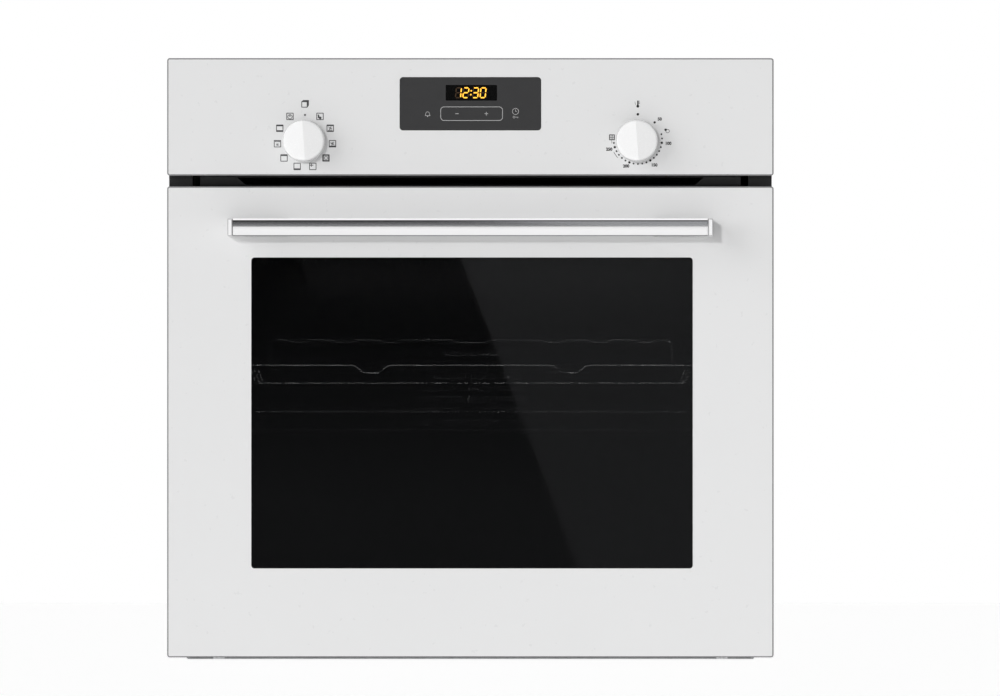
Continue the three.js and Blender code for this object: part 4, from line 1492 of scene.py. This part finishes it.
@dataclass
class WireShelf(Wirework):
    """The wire shelf: a frame with two dips in front, a sunk grid and a raised rear rail."""

    frame_radius: float = 2.8 * MM
    frame_bend: float = 7 * MM
    frame_inset: float = 3 * MM
    rail_rise: float = 27 * MM
    rail_half: float = 205 * MM
    sink: float = 17.1 * MM
    dip_at: float = 98 * MM
    dip_shape: tuple[Point, ...] = ((-17, 0), (-9, 7.5), (9, 7.5), (17, 0))
    notches: tuple[Point, ...] = ((-178, 6), (-131, 7), (-84, 7), (0, 15), (84, 7), (131, 7), (178, 6))
    notch_slope: float = 4 * MM
    notch_depth: float = 2.6 * MM
    wire_radius: float = 1.6 * MM
    wire_pitch: float = 20.5 * MM
    wires_aside: int = 9
    cross_radius: float = 2.1 * MM
    cross_bend: float = 5 * MM

    def build(self, tools: Tools) -> None:
        """Make the frame with its rail, the long wires and the cross wires.

        Args:
            tools: the node tools.
        """
        low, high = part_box("wire_shelf")
        edge = high.x - self.frame_inset
        front, back = low.y + self.frame_inset, high.y - self.frame_radius
        raised = high.z - self.frame_radius
        z = raised - self.rail_rise
        dips = [(s.value * self.dip_at + x * MM, front, z - drop * MM) for s in Side for x, drop in self.dip_shape]
        rim = [(-edge, back - 10 * MM, z), (-edge, front, z), *dips, (edge, front, z), (edge, back - 10 * MM, z)]
        groups = [(self.frame_radius, self.frame_bend, [rim, self.rear_rail(edge, back, z, raised)]),
                  (self.wire_radius, 0, self.long_wires(front, back, z - self.sink)),
                  (self.cross_radius, self.cross_bend, self.cross_wires(edge, front, back, z))]
        self.wires(tools, "shelf_wire", groups, "shelf", "chrome_wire", "wire_shelf")

    def rear_rail(self, edge: float, back: float, z: float, raised: float) -> Polyline:
        """The rail behind, with shallow notches in its top.

        Args:
            edge: half the frame's width.
            back: y of the rail.
            z: height of the frame.
            raised: height of the rail's top.

        Returns:
            The rail's line from left to right.
        """
        notched = []
        for centre, half in self.notches:
            for x, drop in ((-half * MM - self.notch_slope, 0), (-half * MM, self.notch_depth),
                            (half * MM, self.notch_depth), (half * MM + self.notch_slope, 0)):
                notched.append((centre * MM + x, back, raised - drop))
        rail = self.rail_half
        return [(-edge, back - 12 * MM, z), (-edge, back, z), (-rail, back, z), (-rail, back, raised), *notched,
                (rail, back, raised), (rail, back, z), (edge, back, z), (edge, back - 12 * MM, z)]

    def long_wires(self, front: float, back: float, sunk: float) -> list[Polyline]:
        """The wires from front to back, over the cross wires.

        Args:
            front: y of the frame's front.
            back: y of the frame's back.
            sunk: height of the cross wires under them.

        Returns:
            A line for each wire.
        """
        top = sunk + 1.8 * MM
        places = [i * self.wire_pitch for i in range(-self.wires_aside, self.wires_aside + 1)]
        return [[(x, front + 6 * MM, top), (x, back - 8 * MM, top)] for x in places]

    def cross_wires(self, edge: float, front: float, back: float, z: float) -> list[Polyline]:
        """The three wires from side to side, bent down to carry the sunk grid.

        Args:
            edge: half the frame's width.
            front: y of the frame's front.
            back: y of the frame's back.
            z: height of the frame.

        Returns:
            A line for each wire.
        """
        sunk = z - self.sink
        return [[(-edge, y, z), (-edge + 8 * MM, y, z), (-edge + 15 * MM, y, sunk),
                 (edge - 15 * MM, y, sunk), (edge - 8 * MM, y, z), (edge, y, z)]
                for y in (front + 12 * MM, (front + back) / 2, back - 10 * MM)]


@dataclass
class RoastingGrid(Wirework):
    """The grid that stands in the tray on four bent legs."""

    wire_radius: float = 1.5 * MM
    wire_pitch: float = 20 * MM
    wires_aside: int = 10
    wire_drop: float = 1.4 * MM
    bar_radius: float = 1.8 * MM
    bar_bend: float = 4 * MM
    bar_drop: float = 3 * MM
    inset: float = 2 * MM
    edge: float = 212 * MM
    leg_shape: tuple[float, ...] = (-14 * MM, -4 * MM, 6 * MM, 11 * MM)

    def build(self, tools: Tools) -> None:
        """Make the long wires, the bars under them and the legs.

        Args:
            tools: the node tools.
        """
        low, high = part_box("roasting_grid")
        top = high.z - self.wire_radius
        near, far = low.y + self.inset, high.y - self.inset
        over, under, foot = top - self.wire_drop, top - self.bar_drop, low.z + self.bar_radius
        places = [i * self.wire_pitch for i in range(-self.wires_aside, self.wires_aside + 1)]
        lengths = [[(x, low.y + 0.1 * MM, over), (x, high.y - 0.1 * MM, over)] for x in places]
        bars = [[(-self.edge, y, under), (self.edge, y, under)]
                for y in (near + self.inset, (near + far) / 2, far)]
        legs = [[(s.value * (self.edge + out), y, z) for out, z in zip(self.leg_shape, (under, under, foot, foot))]
                for s in Side for y in (near, far)]
        groups = [(self.wire_radius, 0, lengths), (self.bar_radius, self.bar_bend, bars + legs)]
        self.wires(tools, "grid_wire", groups, "tray", "chrome_wire", "roasting_grid")


@dataclass
class Tray:
    """The pressed and enamelled baking tray with its rolled rim."""

    corner: float = 16 * MM
    rim_width: float = 12.5 * MM
    sheet: float = 1.1 * MM
    wall: float = 0.9 * MM
    crease: float = 50.0

    def build(self, tools: Tools) -> None:
        """Press the tray from a stack of outlines, open below the rim, and give it its wall.

        Args:
            tools: the node tools; not used.
        """
        low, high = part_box("baking_tray")
        rim, floor, flat = high.z - self.sheet, low.z + self.sheet, self.rim_width
        skirt = rim - 3 * MM
        levels = ((0.6 * MM, skirt), (0, rim - 2 * MM), (0, rim), (0.8 * MM, high.z), (flat - 2 * MM, high.z),
                  (flat, rim - 1.5 * MM), (flat + 4 * MM, low.z + 6 * MM), (flat + 7 * MM, floor + 1 * MM),
                  (flat + 12 * MM, floor))
        body = Body()
        # The three outer bands, the rolled rim, take slot 1, a lighter grey that paints the highlight along the rim.
        body.loft([(rounded_rect(low.x + inward, high.x - inward, low.y + inward, high.y - inward, self.corner, 10), z)
                   for inward, z in levels], Facing.ABOVE, slots=[1, 1, 1])
        cap = next(f for f in body.bm.faces if len(f.verts) > 4 and abs(f.verts[0].co.z - skirt) < 0.1 * MM)
        body.bm.faces.remove(cap)
        piece = body.finish("tray_pressing", "tray", "dark_enamel", "dark_enamel", ["baking_tray"], ["rim_painted_highlight"],
                            crease=self.crease)
        wall = piece.modifiers.new("wall", "SOLIDIFY")
        wall.thickness = self.wall
        wall.offset = 1


@dataclass
class Heaters(Wirework):
    """The bent heater tubes over and under the cavity."""

    radius: float = 3.3 * MM
    bend: float = 26 * MM
    tail_half: float = 25 * MM
    loop_back: float = 60 * MM
    tails: tuple[tuple[str, float], ...] = (("grill_heater", 69 * MM), ("bottom_heater", 59 * MM))

    def build(self, tools: Tools) -> None:
        """Make each tube: out from the rear wall, round the edge and back through the middle.

        Args:
            tools: the node tools.
        """
        for node, tail in self.tails:
            low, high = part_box(node)
            edge, near, back = high.x - self.radius, low.y + self.radius, high.y - tail
            inner, loop = edge / 3, back - self.loop_back
            z = (low.z + high.z) / 2
            half = [(self.tail_half, high.y), (self.tail_half, back), (edge, back), (edge, near), (inner, near),
                    (inner, loop)]
            run = [(-x, y, z) for x, y in half] + [(x, y, z) for x, y in reversed(half)]
            self.wires(tools, node + "_tube", [(self.radius, self.bend, [run])], "housing", "heater_sheath", node)


@dataclass
class Housing:
    """The sheet-metal housing: screws, pressed ribs and folded edges on its plain panels."""

    screw_radius: float = 3.6 * MM
    rib_height: float = 1.4 * MM
    rib_half: float = 9 * MM
    rib_corner: float = 8.9 * MM
    rib_slope: float = 6 * MM
    rib_steps: int = 4

    def build(self, tools: Tools) -> None:
        """Make the fasteners and pressings on every side.

        Args:
            tools: the node tools.
        """
        self.screws(tools)
        self.ribs()
        self.fold()

    def screws(self, tools: Tools) -> None:
        """Put screws along the edges of the rear, side and top panels.

        Args:
            tools: the node tools.
        """
        low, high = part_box("rear_cover")
        inset = 9 * MM
        back = high.y + 0.6 * MM
        rear = [(x, back, z) for x in (low.x + inset, 0, high.x - inset) for z in (low.z + inset, high.z - inset)]
        rear += [(x, back, (low.z + high.z) / 2) for x in (low.x + inset, high.x - inset)]
        cover_low, cover_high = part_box("terminal_cover")
        rear += [(x, back, cover_high.z - 8 * MM) for x in (cover_high.x - inset, cover_low.x + inset)]
        top_low, top_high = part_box("top_cover")
        top = [(x, y, top_high.z + 0.6 * MM) for x in (top_low.x + inset, top_high.x - inset)
               for y in (top_low.y + 30 * MM, (top_low.y + top_high.y) / 2, top_high.y - 15 * MM)]
        sets = {"rear_screws": (rear, (-math.pi / 2, 0, 0)), "top_screws": (top, (0, 0, 0))}
        for side in Side:
            s_low, s_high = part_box(side.word + "_side_panel")
            x = s_high.x + 0.6 * MM if side is Side.RIGHT else s_low.x - 0.6 * MM
            points = [(x, y, z) for y in (s_low.y + 14 * MM, s_high.y - 14 * MM)
                      for z in (s_low.z + 16 * MM, (s_low.z + s_high.z) / 2, s_high.z - 16 * MM)]
            sets[side.word + "_side_screws"] = (points, (0, side.value * math.pi / 2, 0))
        for name, (points, turn) in sets.items():
            tools.screw.run(name, point_mesh(name, points), {"Radius": self.screw_radius, "Turn": turn},
                            "housing", "machined_steel", "machined_steel")

    def fold(self) -> None:
        """Fold the panel carrier's lower edge down over the tops of the flanges."""
        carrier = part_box("panel_carrier")
        body = Body()
        for side in Side:
            low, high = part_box(side.word + "_front_flange")
            x0, x1 = sorted((low.x, high.x))
            body.slab(rounded_rect(x0, x1, high.z - 2.5 * MM, carrier[0].z + 1.5 * MM, 0.5 * MM, 3),
                      low.y - 1.4 * MM, low.y - 0.2 * MM)
        body.finish("carrier_fold", "housing", "black_plastic", "black_plastic", crease=40.0)

    def ribs(self) -> None:
        """Press long stiffening ribs into the side, top and rear panels."""
        for side in Side:
            low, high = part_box(side.word + "_side_panel")
            face = high.x if side is Side.RIGHT else low.x
            body = Body()
            for z in (0.2, 0.5, 0.8):
                centre = low.z + (high.z - low.z) * z
                self.rib(body, (low.y + 60 * MM, high.y - 60 * MM, centre - self.rib_half, centre + self.rib_half), face,
                         side.value, Facing.SIDE)
            body.finish(side.word + "_side_ribs", "housing", "galvanised_steel", "galvanised_steel", crease=60.0)
        low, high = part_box("top_cover")
        body = Body()
        for x in (-0.3, 0.3):
            centre = (high.x - low.x) * x
            self.rib(body, (centre - self.rib_half, centre + self.rib_half, low.y + 180 * MM, high.y - 50 * MM), high.z, 1,
                     Facing.ABOVE)
        body.finish("top_ribs", "housing", "galvanised_steel", "galvanised_steel", crease=60.0)
        low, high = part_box("rear_cover")
        body = Body()
        for x in (-0.32, 0.32):
            centre = (high.x - low.x) * x
            self.rib(body, (centre - self.rib_half, centre + self.rib_half, low.z + 50 * MM, low.z + 440 * MM), high.y, 1,
                     Facing.FRONT)
        body.finish("rear_ribs", "housing", "galvanised_steel", "galvanised_steel", crease=60.0)

    def rib(self, body: Body, at: Sequence[float], face: float, way: int, facing: Facing) -> None:
        """Add one pressed rib, a low dome with round ends.

        Args:
            body: the mesh that it is added to.
            at: its extent along the two axes of the panel.
            face: the panel's outer face.
            way: +1 or -1, the way the face looks.
            facing: how the panel is laid.
        """
        a0, a1, b0, b1 = at
        rings = []
        for i in range(self.rib_steps + 1):
            t = i / self.rib_steps
            shrink = self.rib_slope * t
            height = self.rib_height * math.sin(math.pi / 2 * t)
            outline = rounded_rect(a0 + shrink, a1 - shrink, b0 + shrink, b1 - shrink, self.rib_corner - shrink, 6)
            rings.append((outline, face + way * height))
        body.loft(rings, facing)


def dress_nodes() -> None:
    """Give every frame node that stays in sight its own finish, by the record's material slots."""
    renamed = {"display_black": "display_lens"}
    by_node = {"lamp_glass": "lamp_glass_finish", "lamp_bulb": "lamp_glass_finish"}
    for entry in frame["record"]["subparts"]:
        node = entry["node"]
        slot = entry["material_slot"]
        finish = by_node.get(node, renamed.get(slot, slot))
        holder = frame["nodes"][node]
        if not holder.material_slots:
            holder.data.materials.append(material(finish))
        for held in holder.material_slots:
            held.material = material(finish)
        log.info("%s: dressed in %s", node, finish)


# ---- studio -------------------------------------------------------------------------------------


@dataclass
class Studio:
    """A plain pale floor, soft light and a long-lens camera square to the front."""

    distance: float = 10.0
    field_width: float = 0.9794
    sensor: float = 36.0
    offset: tuple[float, float] = (0.029, 0.3061)
    floor_drop: float = 0.3
    floor_reach: float = 14.0
    floor_front: float = 5.0
    card_distance: float = 3.6
    floor_glow: float = 0.48
    strip_power: float = 0.34
    strip_share: float = 0.94
    strip_width: float = 70 * MM
    strip_back: float = 35 * MM
    strip_drop: float = 45 * MM
    strip_tilt: float = 38.0
    card_edges: tuple[float, float, float, float] = (-0.36, 0.42, 0.02, 0.47)
    front: float = field(init=False)
    edge_top: Point = (-9.3 * MM, 394.8 * MM)
    edge_low: Point = (105.8 * MM, 90.2 * MM)

    def build(self) -> None:
        """Make camera, floor, light and surroundings."""
        self.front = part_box("control_panel")[0].y
        self.camera()
        self.floor()
        self.lamps()
        self.card()
        self.sky()
        bpy.context.scene.view_settings.view_transform = "Standard"

    def camera(self) -> None:
        """Stand the camera square to the front, a little to the right of its middle."""
        data = bpy.data.cameras.new("camera")
        data.sensor_width = self.sensor
        data.lens = self.sensor * self.distance / self.field_width
        data.clip_end = 50
        camera = bpy.data.objects.new("camera", data)
        camera.location = (self.offset[0], self.front - self.distance, self.offset[1])
        camera.rotation_euler = (math.pi / 2, 0, 0)
        bpy.context.scene.collection.objects.link(camera)
        bpy.context.scene.camera = camera

    def plane(self, name: str, corners: Sequence[Sequence[float]], look: bpy.types.Material) -> bpy.types.Object:
        """A flat sheet of the studio through its corners.

        Args:
            name: the sheet's name.
            corners: its corners, in order.
            look: its material.

        Returns:
            The sheet's object.
        """
        mesh = bpy.data.meshes.new(name)
        mesh.from_pydata(list(corners), [], [tuple(range(len(corners)))])
        mesh.materials.append(look)
        sheet = bpy.data.objects.new(name, mesh)
        bpy.context.scene.collection.objects.link(sheet)
        return sheet

    def floor(self) -> None:
        """Lay the floor below the reach of the open door."""
        graph = Graph("studio_floor")
        graph.shader.inputs["Base Color"].default_value = (0.98, 0.98, 0.98, 1)
        graph.shader.inputs["Roughness"].default_value = 0.9
        graph.shader.inputs["Specular IOR Level"].default_value = 0.1
        graph.shader.inputs["Emission Color"].default_value = (1, 1, 1, 1)
        graph.shader.inputs["Emission Strength"].default_value = self.floor_glow
        reach, near, z = self.floor_reach, -self.floor_front, -self.floor_drop
        self.plane("studio_floor", [(-reach, near, z), (reach, near, z), (reach, reach, z), (-reach, reach, z)],
                   graph.material)

    def lamps(self) -> None:
        """Light the front from near the camera and softly from the left, and light the cavity from its top."""
        self.sun("key", 1.0, 3.5, -12, 8)
        self.sun("fill", 1.3, 45, -55, 14)
        cavity_low, cavity_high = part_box("oven_cavity")
        data = bpy.data.lights.new("cavity_strip", "AREA")
        data.shape = "RECTANGLE"
        data.energy = self.strip_power
        data.size, data.size_y = self.strip_share * (cavity_high.x - cavity_low.x), self.strip_width
        strip = bpy.data.objects.new("cavity_strip", data)
        strip.location = (0, cavity_low.y + self.strip_back, cavity_high.z - self.strip_drop)
        strip.rotation_euler = (math.radians(self.strip_tilt), 0, 0)
        bpy.context.scene.collection.objects.link(strip)

    def sun(self, name: str, power: float, softness: float, aside: float, above: float) -> None:
        """Light the scene evenly from far away.

        Args:
            name: the light's name.
            power: in watts on a square metre.
            softness: how wide the source looks, in degrees.
            aside: how far right of straight ahead it stands, in degrees.
            above: how far above level it stands, in degrees.
        """
        data = bpy.data.lights.new(name, "SUN")
        data.energy = power
        data.angle = math.radians(softness)
        holder = bpy.data.objects.new(name, data)
        holder.rotation_euler = (math.radians(90 - above), 0, math.radians(aside))
        holder.visible_glossy = False
        bpy.context.scene.collection.objects.link(holder)

    def card(self) -> None:
        """Stand two dim cards in front, whose reflections meet along a slanted line in the window."""
        lean = (self.edge_low[0] - self.edge_top[0]) / (self.edge_low[1] - self.edge_top[1])
        left, right, low, high = self.card_edges
        meet_high = self.edge_top[0] + lean * (high - self.edge_top[1])
        meet_low = self.edge_top[0] + lean * (low - self.edge_top[1])
        on_right = ((meet_high, high), (right, high), (right, low), (meet_low, low))
        on_left = ((left, high), (meet_high, high), (meet_low, low), (left, low))
        self.one_card("right_card", on_right, 0.3, 0.31)
        self.one_card("left_card", on_left, -0.06, 0.14)

    def one_card(self, name: str, seen_at: Sequence[Point], high: float, low: float) -> None:
        """Stand one card.

        Args:
            name: its name.
            seen_at: the corners x, z on the front glass where its reflection lies.
            high: its brightness at the top.
            low: its brightness at the bottom.
        """
        graph = Graph(name)
        graph.shader.inputs["Base Color"].default_value = (0, 0, 0, 1)
        graph.shader.inputs["Emission Color"].default_value = (0.95, 0.97, 1.0, 1)
        split = graph.node("SeparateXYZ")
        graph.feed(split.inputs[0], graph.place)
        brightness = graph.ramp(split.outputs["Z"], low, high, 0.1, 0.44)
        graph.feed(graph.shader.inputs["Emission Strength"], brightness)
        scale = (self.distance + self.card_distance) / self.distance
        corners = [(self.offset[0] + (x - self.offset[0]) * scale, self.front - self.card_distance,
                    self.offset[1] + (z - self.offset[1]) * scale) for x, z in seen_at]
        sheet = self.plane(name, corners, graph.material)
        sheet.visible_camera = False
        sheet.visible_diffuse = False
        sheet.visible_shadow = False
        sheet.visible_transmission = False

    def sky(self) -> None:
        """Surround the scene with white, which polished faces see as a dim room with a pale ceiling."""
        world = bpy.data.worlds.new("surroundings")
        bpy.context.scene.world = world
        world.use_nodes = True
        tree = world.node_tree
        tree.nodes.clear()
        out = tree.nodes.new("ShaderNodeOutputWorld")
        white = tree.nodes.new("ShaderNodeBackground")
        white.inputs["Color"].default_value = (1, 1, 1, 1)
        soft = tree.nodes.new("ShaderNodeBackground")
        soft.inputs["Strength"].default_value = 0.45
        room = tree.nodes.new("ShaderNodeBackground")
        ramp = tree.nodes.new("ShaderNodeValToRGB")
        stops = ((0.0, 1.2), (0.42, 1.2), (0.46, 0.02), (0.56, 0.015), (0.62, 0.12), (0.8, 0.4), (0.92, 1.3))
        band = ramp.color_ramp
        while len(band.elements) < len(stops):
            band.elements.new(0.5)
        for element, (place, level) in zip(band.elements, stops):
            element.position = place
            element.color = (level, level, level, 1)
        way = tree.nodes.new("ShaderNodeTexCoord")
        split = tree.nodes.new("ShaderNodeSeparateXYZ")
        half = tree.nodes.new("ShaderNodeMath")
        half.operation = "MULTIPLY_ADD"
        half.inputs[1].default_value = 0.5
        half.inputs[2].default_value = 0.5
        path = tree.nodes.new("ShaderNodeLightPath")
        first = tree.nodes.new("ShaderNodeMixShader")
        second = tree.nodes.new("ShaderNodeMixShader")
        links = ((way.outputs["Generated"], split.inputs[0]), (split.outputs["Z"], half.inputs[0]),
                 (half.outputs[0], ramp.inputs[0]), (ramp.outputs[0], room.inputs["Color"]),
                 (path.outputs["Is Glossy Ray"], first.inputs[0]), (soft.outputs[0], first.inputs[1]),
                 (room.outputs[0], first.inputs[2]), (path.outputs["Is Camera Ray"], second.inputs[0]),
                 (first.outputs[0], second.inputs[1]), (white.outputs[0], second.inputs[2]),
                 (second.outputs[0], out.inputs[0]))
        for source, socket in links:
            tree.links.new(source, socket)


def main() -> None:
    """Build the studio, then every sub-assembly in order."""
    logging.basicConfig(level=logging.INFO, format="%(name)s %(message)s")
    Studio().build()
    dress_nodes()
    tools = Tools.make()
    for assembly in (Housing(), ShelfLadders(), WireShelf(), RoastingGrid(), Tray(), Heaters(), Door(),
                     ControlPanel()):
        assembly.build(tools)
    for word in ("function", "temperature"):
        Knob(word).build()


if __name__ == "__main__":
    main()
